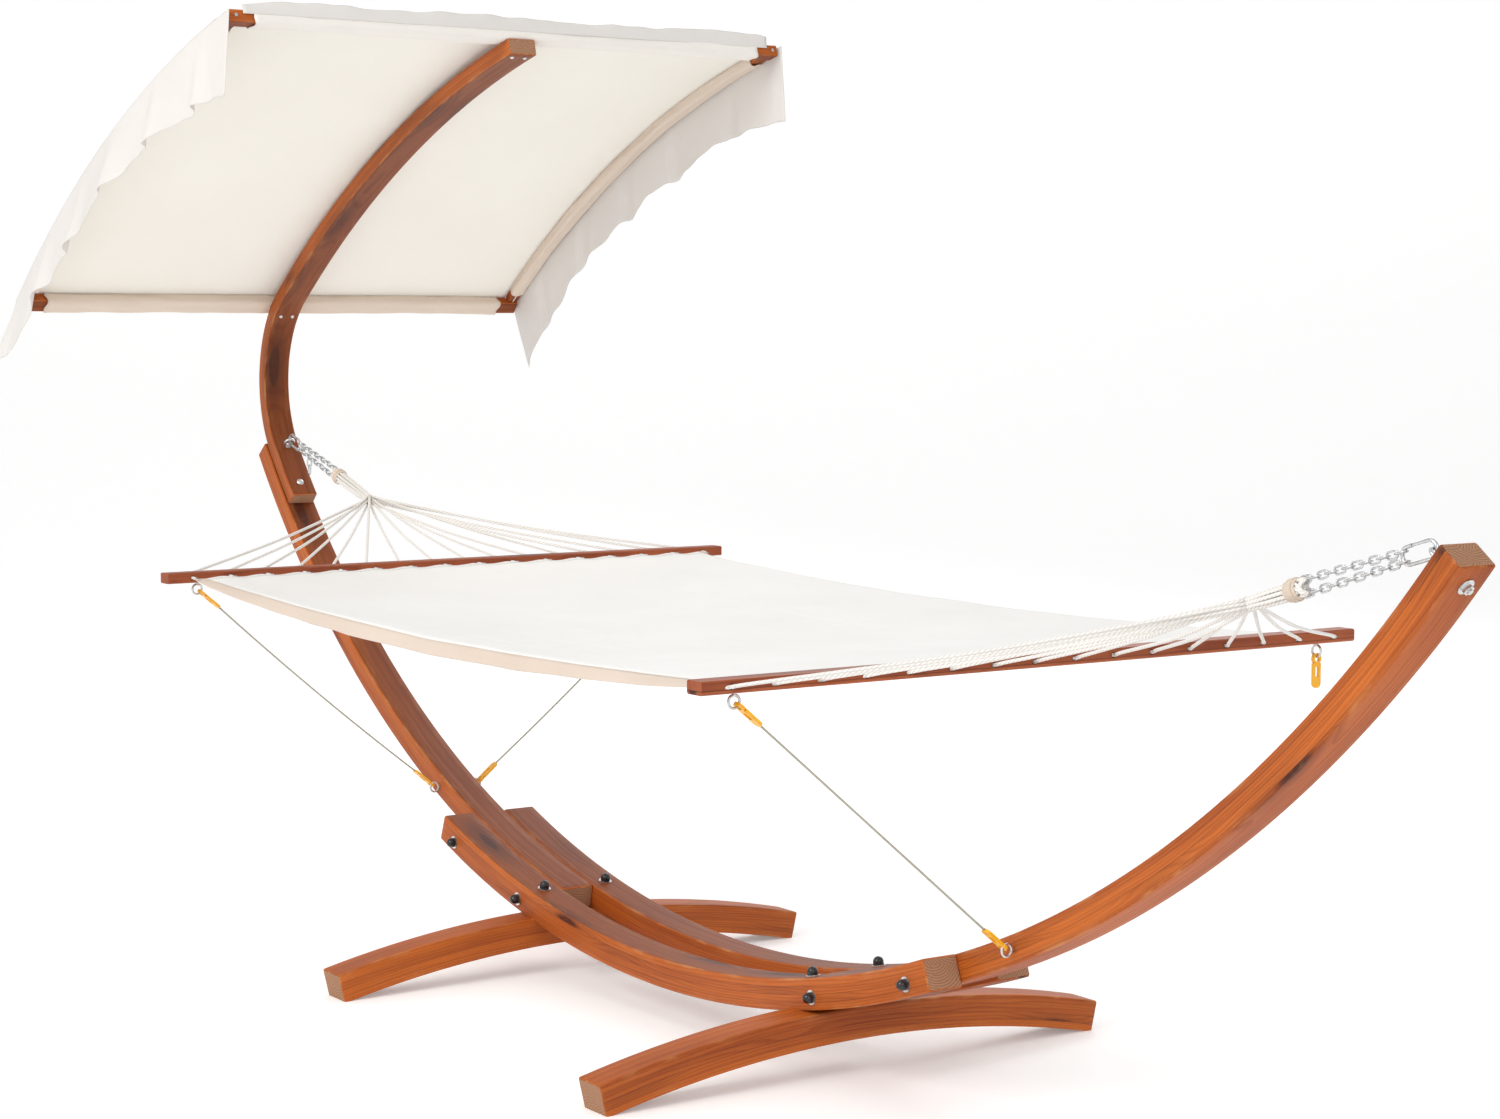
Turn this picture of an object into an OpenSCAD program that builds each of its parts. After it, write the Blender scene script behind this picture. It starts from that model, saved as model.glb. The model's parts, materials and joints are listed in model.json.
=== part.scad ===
// Hammock with spreader bars on a curved timber stand with a sunshade.
// Millimetres. X runs along the hammock (head end negative), Y across it, Z up.
// The origin is on the ground midway between the two cross feet.

/* [Rails and arms] */
// Radius of the upper face of the rails and arms
rail_r = 2700; // [2400:10:3300]
// Height of the rails' upper face at the middle
rail_top = 139; // [138:0.5:150]
// Distance of a rail's end from the middle, along X
rail_half = 940; // [780:5:1130]
// Depth of a rail
rail_d = 64; // [54:1:77]
// Width of a rail
rail_w = 81; // [68:1:97]
// Depth of an arm
arm_d = 55; // [50:1:66]
// Width of an arm
arm_w = 83; // [70:1:100]
// Distance of an arm's lower end from the middle, along X
arm_low_x = 520; // [430:5:540]
// Distance of an arm's upper end from the middle, along X
arm_top_x = 2114; // [1900:5:2250]
// Edge chamfer on the stand's timbers
edge = 3; // [1:0.5:6]

/* [Cross feet] */
// Distance of a cross foot from the middle, along X
foot_x = 552; // [540:1:620]
// Length of a cross foot
foot_len = 1200; // [1000:10:1440]
// Radius of a cross foot's underside
foot_r = 2600; // [2200:10:3100]
// Width of a cross foot
foot_w = 83; // [70:1:100]
// Depth of a cross foot
foot_d = 67; // [60:1:80]
// Width of the flat that rests on the ground at each end
foot_flat = 18; // [10:1:26]

/* [Canopy] */
// Width of the canopy pole
pole_w = 72; // [60:1:83]
// Thickness of the canopy pole
pole_d = 38; // [32:1:46]
// Length of the pole that lies on the head arm
pole_lap = 170; // [140:5:200]
// Outer radius of the pole's bend
bend_r = 310; // [260:5:370]
// Slope of the pole where the bend ends, in degrees from level
bend_end = 36; // [34:0.5:38]
// Outer radius of the pole above the bend
up_r = 3440; // [2900:20:4100]
// Slope of the pole at its free end, in degrees from level
pole_end = 12.7; // [10:0.1:15]
// Slope of the pole under the lower bar, in degrees from level
low_bar_at = 48.8; // [46:0.2:52]
// Length of the canopy bars
shade_len = 1460; // [1220:10:1750]
// Width of a canopy bar
shade_bar_w = 38; // [32:1:45]
// Thickness of a canopy bar
shade_bar_t = 28; // [24:1:32]
// Width of a curved batten
batten_w = 30; // [24:1:36]
// Thickness of a curved batten
batten_t = 22; // [18:1:24]
// Exposed length of bar and batten at each corner
corner = 55; // [40:1:70]
// Drop of the side valances
valance_drop = 165; // [120:5:200]
// Thickness of the canopy cloth
cloth_t = 2.5; // [2:0.5:4]

/* [Hammock] */
// Length of the spreader bars
bar_len = 1530; // [1280:10:1840]
// Width of a spreader bar
bar_w = 45; // [38:1:54]
// Thickness of a spreader bar
bar_t = 24; // [20:1:29]
// X of the head spreader bar
head_bar_x = -1093; // [-1150:1:-1000]
// Height of the head spreader bar's middle
head_bar_z = 900; // [870:1:930]
// X of the foot spreader bar
foot_bar_x = 1145; // [1050:1:1200]
// Height of the foot spreader bar's middle
foot_bar_z = 885; // [860:1:915]
// Number of ropes at each end
rope_n = 16; // [12:1:18]
// Distance of the outer ropes from a spreader bar's ends
rope_in = 60; // [50:1:100]
// Diameter of a rope
rope_d = 7; // [5:0.5:8]
// Diameter of the rope holes in the bars
rope_hole_d = 10; // [9:0.5:12]
// Distance of the bed's sides from a spreader bar's ends
bed_in = 55; // [30:1:90]
// Sag of the bed between its bars
bed_sag = 43; // [30:1:60]
// Thickness of the bed's cloth and hems
bed_t = 5; // [4:0.5:8]
// X where the head end's ropes leave their bundle
head_fan_x = -1560; // [-1600:1:-1500]
// X where the foot end's ropes leave their bundle
foot_fan_x = 1660; // [1620:1:1700]
// Slope of the line of pull at both ends, in degrees from level
pull_a = 16.6; // [15:0.1:18]

/* [Suspension] */
// Diameter of the wire of the eye bolts
eye_wire = 7; // [6:0.5:8]
// Inner diameter of an eye
eye_hole = 17; // [16:0.5:20]
// Length of arm above an eye bolt
eye_below_top = 40; // [35:1:60]
// Diameter of the eye bolts and pole bolt
bolt_d = 10; // [8:0.5:12]
// Outer length of a spring hook
hook_len = 80; // [70:1:96]
// Outer width of a spring hook
hook_w = 36; // [34:1:42]
// Diameter of a spring hook's wire
hook_wire = 7; // [6:0.5:7.5]
// Diameter of a chain link's wire
link_wire = 4; // [3.5:0.1:4.4]
// Outer width of a chain link
link_w = 16; // [15.6:0.1:18]
// Outer length of a chain link
link_len = 28; // [26:0.5:33]
// Links in each strand at the head end
head_links = 12; // [10:1:12]
// Links in each strand at the foot end
foot_links = 12; // [10:1:12]

/* [Tie-downs] */
// Distance of a bar's screw eyes from its ends
tie_in = 80; // [70:1:120]
// Distance of an arm's screw eye from the middle, along X
arm_eye_x = 1110; // [1000:1:1200]
// Length of a plastic hook from its ring to its cord
clip_len = 58; // [52:1:70]
// Diameter of a tie-down cord
cord_d = 4; // [3:0.5:5]

/* [Fasteners] */
// X of the outer side bolts
side_bolt_x1 = 890; // [800:1:905]
// X of the inner side bolts
side_bolt_x2 = 585; // [575:1:640]
// Depth of the side bolts below the rails' upper face
side_bolt_dip = 38; // [32:1:40]
// Diameter of the washers under the domed caps
washer_d = 30; // [25:1:32]
// Diameter of the domed caps
cap_d = 22; // [20:0.5:26]

/* [Hidden] */

fit = 0.5;                  // clearance round a bolt in timber
slide = 0.25;               // clearance between neighbouring small parts
washer_t = 2;
cap_h = 18;
rod_in_cap = 10;
washer_hole = bolt_d + 1;
side_rod_d = 10;
eye_r = (eye_hole + eye_wire) / 2;
collar_d = 16;
collar_t = 3;
eye_off = eye_r + eye_wire / 2 + collar_t;   // eye centre to timber face
nut_h = 8;
nut_af = 17;
bolt_past_nut = 4;
screw_d = 4;
screw_head_d = 10;
screw_fit = 0.4;                             // clearance round a screw in timber
pole_screw_y = 17;
pole_screw_len = pole_d + 0.7 * shade_bar_t;
corner_screw_len = shade_bar_w + 30;

rail_zc = rail_top + rail_r;                 // centre of the rails' circle
rail_a = asin(rail_half / rail_r);
arm_low_a = asin(arm_low_x / rail_r);
arm_top_a = asin(arm_top_x / rail_r);
eye_a = arm_top_a - eye_below_top / rail_r * 180 / PI;
rail_y = (arm_w + rail_w) / 2;
stand_half_y = arm_w / 2 + rail_w;
side_bolt_r = rail_r + side_bolt_dip;
side_bolt_as = [for (x = [side_bolt_x1, side_bolt_x2]) each [asin(x / side_bolt_r), -asin(x / side_bolt_r)]];
foot_bolt_a = asin(foot_x / (rail_r + rail_d + foot_d / 2));

// underside circle of a cross foot: it meets the ground foot_flat short of the end
foot_zc = -sqrt(pow(foot_r, 2) - pow(foot_len / 2 - foot_flat, 2));
foot_a = asin(foot_len / 2 / foot_r);
foot_rise = foot_zc + foot_r;
foot_bolt_end = (rail_zc - foot_rise) / cos(foot_bolt_a);
foot_head_d = 20;
foot_head_t = 6;
foot_head_sink = 10;
foot_head_hole_d = 26;

// pole: it laps the arm, bends, then rises on a wide arc
bend_a = eye_a;                              // the bend starts at the eye bolt
lap_a = bend_a - pole_lap / rail_r * 180 / PI;
pole_bolt_in = 45;                           // pole's lower end to its bolt
pole_bolt_a = lap_a + pole_bolt_in / rail_r * 180 / PI;
bend_c = [-(rail_r - bend_r) * sin(bend_a), rail_zc - (rail_r - bend_r) * cos(bend_a)];
up_c = bend_c + (bend_r - up_r) * [-sin(bend_end), cos(bend_end)];
bar_sink = 0.02;                             // a bar's flat face on the pole's curve
low_bar = bend_c + (bend_r + shade_bar_t / 2 + bar_sink) * [-sin(low_bar_at), cos(low_bar_at)];
high_bar_at = pole_end + 0.4;
high_bar = up_c + (up_r + shade_bar_t / 2 + bar_sink) * [-sin(high_bar_at), cos(high_bar_at)];
batten_r = up_r + shade_bar_t / 2;           // middle of the battens' thickness
batten_edge = 1.5;
pole_edge = 2.5;
low_bar_h = atan2(-(low_bar - up_c)[0], (low_bar - up_c)[1]);
batten_y = shade_len / 2 - batten_w / 2 - 1;
corner_a = corner / batten_r * 180 / PI;
sleeve_gap = 1;
sheet_r = batten_r + 6;                      // underside of the stretched cloth
hem_y = batten_y - batten_w / 2 - 2;         // half length of the standing hem
sleeve_in = 28;
sleeve_y = hem_y - sleeve_in;                // half length of the bar sleeves
valance_y = batten_y + batten_w / 2 + sleeve_gap + cloth_t + 0.2;
hem_h = 24;                                  // standing hem on the front bar

// line of pull: u runs from an arm's eye towards the bed, v is square to it and up
foot_eye = circle_point(rail_r - eye_off, eye_a);
head_eye = circle_point(rail_r - pole_d - eye_off, -eye_a);
hook_r = (hook_w - hook_wire) / 2;           // middle of the wire in a hook's ends
hook_straight = hook_len - hook_w;
// hook's outer end arc centre along u, measured from the eye's inner wire
hook_c1 = hook_r - (hook_wire + eye_wire) / 2 - 0.4;
gate_a0 = 8;                                 // gate's free end along the hook
gate_pin_s = hook_straight - 7;
gate_d = 6;
pin_d = 2.6;
pitch = link_len - 2 * link_wire - 0.6;
strand_v = link_w / 2;                       // half distance between the two strands
strand_turn = 1;                             // each strand turns out by this, in degrees
link_catch = hook_straight + hook_r - (hook_wire + link_wire) / 2 - 5.6 + (link_len - link_wire) / 2;

tail_host = 3;                               // link that the spare links hang from, from 0
tail_u = hook_c1 + link_catch + tail_host * pitch;
tail_v = -strand_v - tail_host * pitch * sin(strand_turn) - (link_w - link_wire) / 2;

bundle_past_link = 2;
bundle_d1 = 36;
bundle_d2 = 28;
whip_len = 28;
whip_t = 4;
whip_start = 12;                             // chain end of the bundle to its whipping
rope_gap = (bar_len - 2 * rope_in) / (rope_n - 1);
rope_ys = [for (i = [0:rope_n - 1]) (i - (rope_n - 1) / 2) * rope_gap];
layer_gap = rope_d + 0.3;                    // rope spacing at the bundle's end
flare_len = 8;
flare_d = 42;
bed_w = bar_len - 2 * bed_in;
bed_hem_in = 5;                              // outer rope to the bed's side
bed_rope_k = (bed_w - 2 * bed_hem_in) / (bar_len - 2 * rope_in);
elbow_d = rope_d + 0.6;
elbow_out = rope_d / 2 + 0.4;                // a rope's bend to the face of the bar
bed_end_gap = 12;
clip_t = 6;
clip_ring_d = 22;
clip_hole_d = 12.5;
clip_body_w = 20;
clip_slot_w = 9;
clip_slot_len = 20;
cord_hole_len = 13;
ring_eye_d = 28;                             // outer diameter of a screw eye
ring_wire = 5;
ring_r = (ring_eye_d - ring_wire) / 2;
ring_neck = 3;
screw_len = 18;
clip_seat = ring_r + clip_hole_d / 2 - ring_wire / 2 - 0.6;   // ring centre to ring centre
tie_sag = 8;                                 // sag of the head end's cords
tie_y = bar_len / 2 - tie_in;

timber = [0.69, 0.35, 0.15];
timber_dark = [0.56, 0.27, 0.12];
steel = [0.72, 0.73, 0.75];
black = [0.06, 0.06, 0.06];
canvas = [0.95, 0.94, 0.91];
rope_white = [0.93, 0.92, 0.88];
yellow = [0.93, 0.67, 0.08];
cord_grey = [0.45, 0.45, 0.43];

// ---- placing ----

// point of the rails' circle at radius r, a degrees from straight down towards +X
function circle_point(r, a) = [r * sin(a), rail_zc - r * cos(a)];

// places children on the rails' circle with +Z pointing to its centre
module on_circle(r, a, y = 0) {
    translate([r * sin(a), y, rail_zc - r * cos(a)]) rotate([0, -a, 0]) children();
}

// places children in the plane of the pole with +Z along the outward normal at slope h
module on_slope(c, r, h, y = 0) {
    translate([c[0] - r * sin(h), y, c[1] + r * cos(h)]) rotate([0, -h, 0]) children();
}

// frame of the pull at one end: +X along u, +Z along v, origin at the eye's inner wire
module pull_frame(side) {
    eye = side < 0 ? head_eye : foot_eye;
    wire = eye + eye_r * [-side * sin(eye_a), cos(eye_a)];
    translate([wire[0], 0, wire[1]])
        if (side < 0) rotate([0, pull_a, 0]) children();
        else mirror([1, 0, 0]) rotate([0, pull_a, 0]) children();
}

// point in the object's frame of u, v in the pull frame
function pull_point(side, u, v) =
    let (eye = side < 0 ? head_eye : foot_eye)
    let (wire = eye + eye_r * [-side * sin(eye_a), cos(eye_a)])
    [wire[0] - side * (u * cos(pull_a) + v * sin(pull_a)), wire[1] - u * sin(pull_a) + v * cos(pull_a)];

// ---- shapes ----

// rectangle w by d from x = r0, with chamfered corners
module beam_profile(r0, d, w, c) {
    polygon([
        [r0 + c, -w / 2], [r0 + d - c, -w / 2], [r0 + d, -w / 2 + c], [r0 + d, w / 2 - c],
        [r0 + d - c, w / 2], [r0 + c, w / 2], [r0, w / 2 - c], [r0, -w / 2 + c]
    ]);
}

// curved beam in the XZ plane; t0 to t1 are degrees from +X towards +Z
module arc_beam(c, r0, d, w, t0, t1, ch = edge) {
    translate([c[0], 0, c[1]]) rotate([90, 0, 0]) rotate([0, 0, t0])
        rotate_extrude(angle = t1 - t0, $fn = 720) beam_profile(r0, d, w, ch);
}

module rail_arc(d, w, a0, a1, ch = edge) {
    arc_beam([0, rail_zc], rail_r, d, w, a0 - 90, a1 - 90, ch);
}

// hole or rod along Y at radius r and angle a of the rails' circle
module cross_rod(r, a, d, len) {
    on_circle(r, a) rotate([90, 0, 0]) cylinder(d = d, h = len, center = true, $fn = 32);
}

// flat-ended bar centred on the origin, length along Y, with chamfered edges
module bar_block(w, t, len, ch = 2) {
    rotate([90, 0, 0]) linear_extrude(len, center = true)
        polygon([
            [-w / 2 + ch, -t / 2], [w / 2 - ch, -t / 2], [w / 2, -t / 2 + ch], [w / 2, t / 2 - ch],
            [w / 2 - ch, t / 2], [-w / 2 + ch, t / 2], [-w / 2, t / 2 - ch], [-w / 2, -t / 2 + ch]
        ]);
}

module ring(r, wire) {
    rotate_extrude($fn = 64) translate([r, 0]) circle(d = wire, $fn = 24);
}

// half ring on the +X side of the origin, in the XY plane
module half_ring(r, wire) {
    rotate([0, 0, -90]) rotate_extrude(angle = 180, $fn = 48) translate([r, 0]) circle(d = wire, $fn = 24);
}

module rod(p, q, d) {
    v = q - p;
    len = norm(v);
    translate(p) rotate([0, acos(v[2] / len), atan2(v[1], v[0])]) cylinder(d = d, h = len, $fn = 20);
}

module washer(d = washer_d, hole = washer_hole) {
    difference() {
        cylinder(d = d, h = washer_t, $fn = 48);
        translate([0, 0, -1]) cylinder(d = hole, h = washer_t + 2, $fn = 32);
    }
}

// domed cap with a blind hole for the rod's end
module cap() {
    difference() {
        union() {
            cylinder(d = cap_d, h = cap_h - cap_d / 2, $fn = 48);
            translate([0, 0, cap_h - cap_d / 2]) intersection() {
                sphere(d = cap_d, $fn = 48);
                cylinder(d = cap_d + 2, h = cap_d, $fn = 48);
            }
        }
        translate([0, 0, -1]) cylinder(d = side_rod_d + 0.4, h = rod_in_cap + 2, $fn = 32);
    }
}

module nut() {
    difference() {
        cylinder(d = nut_af / cos(30), h = nut_h, $fn = 6);
        translate([0, 0, -1]) cylinder(d = bolt_d + 0.2, h = nut_h + 2, $fn = 32);
    }
}

// places children at both ends of the side bolts with +Z outward
module side_bolt_ends() {
    for (a = side_bolt_as, s = [-1, 1])
        on_circle(side_bolt_r, a) translate([0, s * stand_half_y, 0]) rotate([-s * 90, 0, 0]) children();
}

// places children on top of the rails over the cross feet with +Z up along the bolt
module foot_bolt_tops() {
    for (a = [-foot_bolt_a, foot_bolt_a], s = [-1, 1])
        on_circle(rail_r - 0.05, a, s * rail_y) children();
}

// ---- stand ----

module rail(s) {
    difference() {
        translate([0, s * rail_y, 0]) rail_arc(rail_d, rail_w, -rail_a, rail_a);
        for (a = side_bolt_as) cross_rod(side_bolt_r, a, side_rod_d + 2 * fit, 4 * stand_half_y);
        foot_bolt_tops() cylinder(d = side_rod_d + 2 * fit, h = 300, center = true, $fn = 32);
    }
}

module rail_front() { color(timber) rail(-1); }
module rail_rear() { color(timber) rail(1); }

// s is -1 for the head arm and 1 for the foot arm
module arm(s) {
    difference() {
        rail_arc(arm_d, arm_w, s > 0 ? arm_low_a : -arm_top_a, s > 0 ? arm_top_a : -arm_low_a);
        for (a = side_bolt_as) cross_rod(side_bolt_r, a, side_rod_d + 2 * fit, 4 * arm_w);
        on_circle(rail_r, s * eye_a) cylinder(d = bolt_d + 2 * fit, h = 4 * arm_d, center = true, $fn = 32);
        if (s < 0) on_circle(rail_r, -pole_bolt_a)
            cylinder(d = bolt_d + 2 * fit, h = 4 * arm_d, center = true, $fn = 32);
        arm_eye_places(s) screw_eye_hole();
    }
}

module arm_head() { color(timber) arm(-1); }
module arm_foot() { color(timber) arm(1); }

module cross_foot(s) {
    difference() {
        translate([s * foot_x, 0, 0]) rotate([0, 0, 90])
            arc_beam([0, foot_zc], foot_r, foot_d, foot_w, 90 - foot_a, 90 + foot_a);
        translate([s * foot_x - foot_w, -foot_len, -100]) cube([2 * foot_w, 2 * foot_len, 100]);
        // seat for the rails
        translate([0, 0, rail_zc]) rotate([90, 0, 0])
            cylinder(r = rail_r + rail_d, h = 2 * stand_half_y + 1, center = true, $fn = 720);
        for (y = [-1, 1]) on_circle(rail_r, s * foot_bolt_a, y * rail_y) {
            cylinder(d = side_rod_d + 2 * fit, h = 500, center = true, $fn = 32);
            translate([0, 0, -(foot_bolt_end - rail_r) - 100 + foot_head_sink])
                cylinder(d = foot_head_hole_d, h = 100, $fn = 48);
        }
    }
}

module cross_foot_head() { color(timber) cross_foot(-1); }
module cross_foot_foot() { color(timber) cross_foot(1); }

module side_bolts() {
    color(steel) for (a = side_bolt_as)
        cross_rod(side_bolt_r, a, side_rod_d, 2 * (stand_half_y + washer_t + rod_in_cap));
}

module side_bolt_washers() { color(steel) side_bolt_ends() washer(); }
module side_bolt_caps() { color(black) side_bolt_ends() translate([0, 0, washer_t]) cap(); }

module foot_bolts() {
    low = -(foot_bolt_end - rail_r) + foot_head_sink - 0.2;
    color(steel) foot_bolt_tops() {
        translate([0, 0, low]) cylinder(d = side_rod_d, h = washer_t + rod_in_cap - low, $fn = 32);
        translate([0, 0, low - foot_head_t]) cylinder(d = foot_head_d, h = foot_head_t, $fn = 48);
    }
}

module foot_bolt_washers() { color(steel) foot_bolt_tops() washer(); }
module foot_bolt_caps() { color(black) foot_bolt_tops() translate([0, 0, washer_t]) cap(); }

// places children on the face of an arm where its screw eye stands, +Z outward
module arm_eye_places(s) {
    a = s * asin(arm_eye_x / (rail_r + arm_d / 2));
    for (y = [-1, 1])
        on_circle(rail_r + arm_d / 2, a) rotate([0, a, 0])
            translate([0, y * arm_w / 2, 0]) rotate([-y * 90, 0, 0]) children();
}

// screw eye standing on z = 0 with its shank below; the ring lies in the YZ plane
module screw_eye() {
    translate([0, 0, ring_neck + ring_eye_d / 2]) rotate([0, 90, 0]) ring(ring_r, ring_wire);
    translate([0, 0, -screw_len])
        cylinder(d = ring_wire, h = screw_len + ring_neck + ring_wire / 2, $fn = 24);
}

// blind hole for the shank of a screw eye that stands on z = 0
module screw_eye_hole() {
    translate([0, 0, -screw_len - 1])
        cylinder(d = ring_wire + screw_fit, h = screw_len + 2, $fn = 24);
}

module arm_eyes() { color(steel) for (s = [-1, 1]) arm_eye_places(s) screw_eye(); }

// eye bolt on z = 0 of the face it stands on, going down through depth of timber
module eye_bolt(depth) {
    translate([0, 0, eye_off]) rotate([0, 90, 0]) ring(eye_r, eye_wire);
    cylinder(d = collar_d, h = collar_t, $fn = 48);
    shank = depth + washer_t + nut_h + bolt_past_nut;
    translate([0, 0, -shank]) cylinder(d = bolt_d, h = shank, $fn = 32);
    translate([0, 0, collar_t / 2]) cylinder(d = bolt_d, h = collar_t / 2 + eye_wire / 2, $fn = 32);
}

module eye_bolts() {
    color(steel) {
        on_circle(rail_r, eye_a) eye_bolt(arm_d);
        on_circle(rail_r - pole_d, -eye_a) eye_bolt(arm_d + pole_d);
    }
}

// places children on the outer face of an arm behind its eye bolt, +Z outward
module eye_bolt_backs() {
    for (s = [-1, 1]) on_circle(rail_r + arm_d + 0.05, s * eye_a) rotate([180, 0, 0]) children();
}

module eye_bolt_washers() { color(steel) eye_bolt_backs() washer(); }
module eye_bolt_nuts() { color(steel) eye_bolt_backs() translate([0, 0, washer_t]) nut(); }

// ---- canopy ----

module pole_arcs() {
    arc_beam([0, rail_zc], rail_r - pole_d, pole_d, pole_w, -90 - bend_a - 0.01, -90 - lap_a, pole_edge);
    arc_beam(bend_c, bend_r - pole_d, pole_d, pole_w, 90 + bend_end - 0.1, 270 - bend_a, pole_edge);
    arc_beam(up_c, up_r - pole_d, pole_d, pole_w, 90 + pole_end, 90 + bend_end, pole_edge);
}

module canopy_pole() {
    color(timber) difference() {
        pole_arcs();
        on_circle(rail_r, -eye_a) cylinder(d = bolt_d + 2 * fit, h = 200, center = true, $fn = 32);
        on_circle(rail_r, -pole_bolt_a) cylinder(d = bolt_d + 2 * fit, h = 200, center = true, $fn = 32);
        pole_screw_places() translate([0, 0, -1]) cylinder(d = screw_d + screw_fit, h = pole_d + 2, $fn = 24);
    }
}

// round-headed bolt through the pole's lower end and the arm
module pole_bolt() {
    color(steel) on_circle(rail_r - pole_d - 0.05, -pole_bolt_a) {
        intersection() {
            translate([0, 0, -8]) sphere(r = 13, $fn = 48);
            cylinder(d = 20, h = 6, $fn = 48);
        }
        shank = arm_d + pole_d + washer_t + nut_h + bolt_past_nut;
        translate([0, 0, -shank]) cylinder(d = bolt_d, h = shank + 0.1, $fn = 32);
    }
}

module pole_bolt_nut() {
    color(steel) on_circle(rail_r + arm_d + 0.05, -pole_bolt_a) rotate([180, 0, 0]) {
        washer();
        translate([0, 0, washer_t - 0.01]) nut();
    }
}

// bars lie square on the pole's outer face
module low_bar_frame() { translate([low_bar[0], 0, low_bar[1]]) rotate([0, -low_bar_at, 0]) children(); }
module high_bar_frame() { translate([high_bar[0], 0, high_bar[1]]) rotate([0, -high_bar_at, 0]) children(); }

// places children on the pole's inner face under each bar screw, +Z into the pole
module pole_screw_places() {
    for (y = [-pole_screw_y, pole_screw_y]) {
        on_slope(bend_c, bend_r - pole_d, low_bar_at, y) children();
        on_slope(up_c, up_r - pole_d, high_bar_at, y) children();
    }
}

module pole_screws() {
    color(steel) pole_screw_places() {
        translate([0, 0, -1]) cylinder(d = screw_d, h = pole_screw_len + 1, $fn = 24);
        translate([0, 0, -2.6]) cylinder(d1 = 7, d2 = screw_head_d, h = 2.5, $fn = 32);
    }
}

// places children at the outer side of each canopy corner, +X into the batten
module corner_screw_places() {
    for (y = [-batten_y, batten_y]) {
        low_bar_frame() translate([-shade_bar_w / 2, y, 0]) rotate([0, low_bar_at - low_bar_h, 0]) children();
        high_bar_frame() translate([shade_bar_w / 2, y, 0]) rotate([0, 0, 180]) children();
    }
}

module corner_screw_hole() {
    translate([-5, 0, 0]) rotate([0, 90, 0])
        cylinder(d = screw_d + screw_fit, h = corner_screw_len + 12, $fn = 24);
}

module canopy_bar_low() {
    color(timber) difference() {
        low_bar_frame() bar_block(shade_bar_w, shade_bar_t, shade_len);
        pole_screw_places() cylinder(d = screw_d + screw_fit, h = pole_screw_len + 1, $fn = 24);
        corner_screw_places() corner_screw_hole();
    }
}

module canopy_bar_high() {
    color(timber) difference() {
        high_bar_frame() bar_block(shade_bar_w, shade_bar_t, shade_len);
        pole_screw_places() cylinder(d = screw_d + screw_fit, h = pole_screw_len + 1, $fn = 24);
        corner_screw_places() corner_screw_hole();
    }
}

module batten(s) {
    difference() {
        translate([0, s * batten_y, 0])
            arc_beam(up_c, batten_r - batten_t / 2, batten_t, batten_w,
                90 + high_bar_at, 90 + low_bar_h, batten_edge);
        low_bar_frame() cube([shade_bar_w, shade_len + 2, 4 * shade_bar_t], center = true);
        high_bar_frame() cube([shade_bar_w, shade_len + 2, 4 * shade_bar_t], center = true);
        corner_screw_places() corner_screw_hole();
    }
}

module batten_near() { color(timber) batten(-1); }
module batten_far() { color(timber) batten(1); }

module corner_screws() {
    color(steel) corner_screw_places() {
        translate([-3, 0, 0]) rotate([0, 90, 0]) cylinder(d = screw_d, h = corner_screw_len, $fn = 24);
        translate([-3.5, 0, 0]) rotate([0, 90, 0]) cylinder(d = 8, h = 2.4, $fn = 32);
    }
}

// tube of cloth round a block w by t, length along Y
module bar_sleeve(w, t, len) {
    difference() {
        cube([w + 2 * (sleeve_gap + cloth_t), len, t + 2 * (sleeve_gap + cloth_t)], center = true);
        cube([w + 2 * sleeve_gap, len + 2, t + 2 * sleeve_gap], center = true);
    }
}

module batten_sleeve(s) {
    grow = sleeve_gap + cloth_t;
    t0 = 90 + high_bar_at + corner_a;
    t1 = 90 + low_bar_h - corner_a;
    translate([0, s * batten_y, 0]) difference() {
        arc_beam(up_c, batten_r - batten_t / 2 - grow, batten_t + 2 * grow, batten_w + 2 * grow, t0, t1, 0.5);
        arc_beam(up_c, batten_r - batten_t / 2 - sleeve_gap, batten_t + 2 * sleeve_gap,
            batten_w + 2 * sleeve_gap, t0 - 0.1, t1 + 0.1, 0.5);
    }
}

module shade_panel() {
    side = batten_y - batten_w / 2 - sleeve_gap - cloth_t / 2;
    // the panel ends inside the walls of both bar sleeves
    reach = shade_bar_w / 2 + sleeve_gap + cloth_t / 2;
    lean = (sheet_r - norm(low_bar - up_c)) * sin(low_bar_at - low_bar_h);
    w_high = reach / sheet_r * 180 / PI;
    w_low = (reach - lean) / sheet_r * 180 / PI;
    color(canvas) arc_beam(up_c, sheet_r, cloth_t, 2 * side,
        90 + high_bar_at + w_high, 90 + low_bar_h - w_low, 0.1);
}

// removes the stretch of a bar's sleeve that lies between bar and pole
module open_for_pole() {
    difference() {
        children();
        translate([-shade_bar_w, -pole_w / 2 - 1, -shade_bar_t / 2 - 20])
            cube([2 * shade_bar_w, pole_w + 2, 20]);
    }
}

module sleeve_low() {
    color(canvas) low_bar_frame() open_for_pole() bar_sleeve(shade_bar_w, shade_bar_t, 2 * sleeve_y);
}

// the upper sleeve carries a standing hem
module sleeve_high() {
    color(canvas) high_bar_frame() open_for_pole() {
        bar_sleeve(shade_bar_w, shade_bar_t, 2 * sleeve_y);
        translate([shade_bar_w / 2 + sleeve_gap, -hem_y, shade_bar_t / 2 + sleeve_gap])
            cube([cloth_t, 2 * hem_y, hem_h]);
    }
}

module sleeve_near() { color(canvas) batten_sleeve(-1); }
module sleeve_far() { color(canvas) batten_sleeve(1); }

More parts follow.
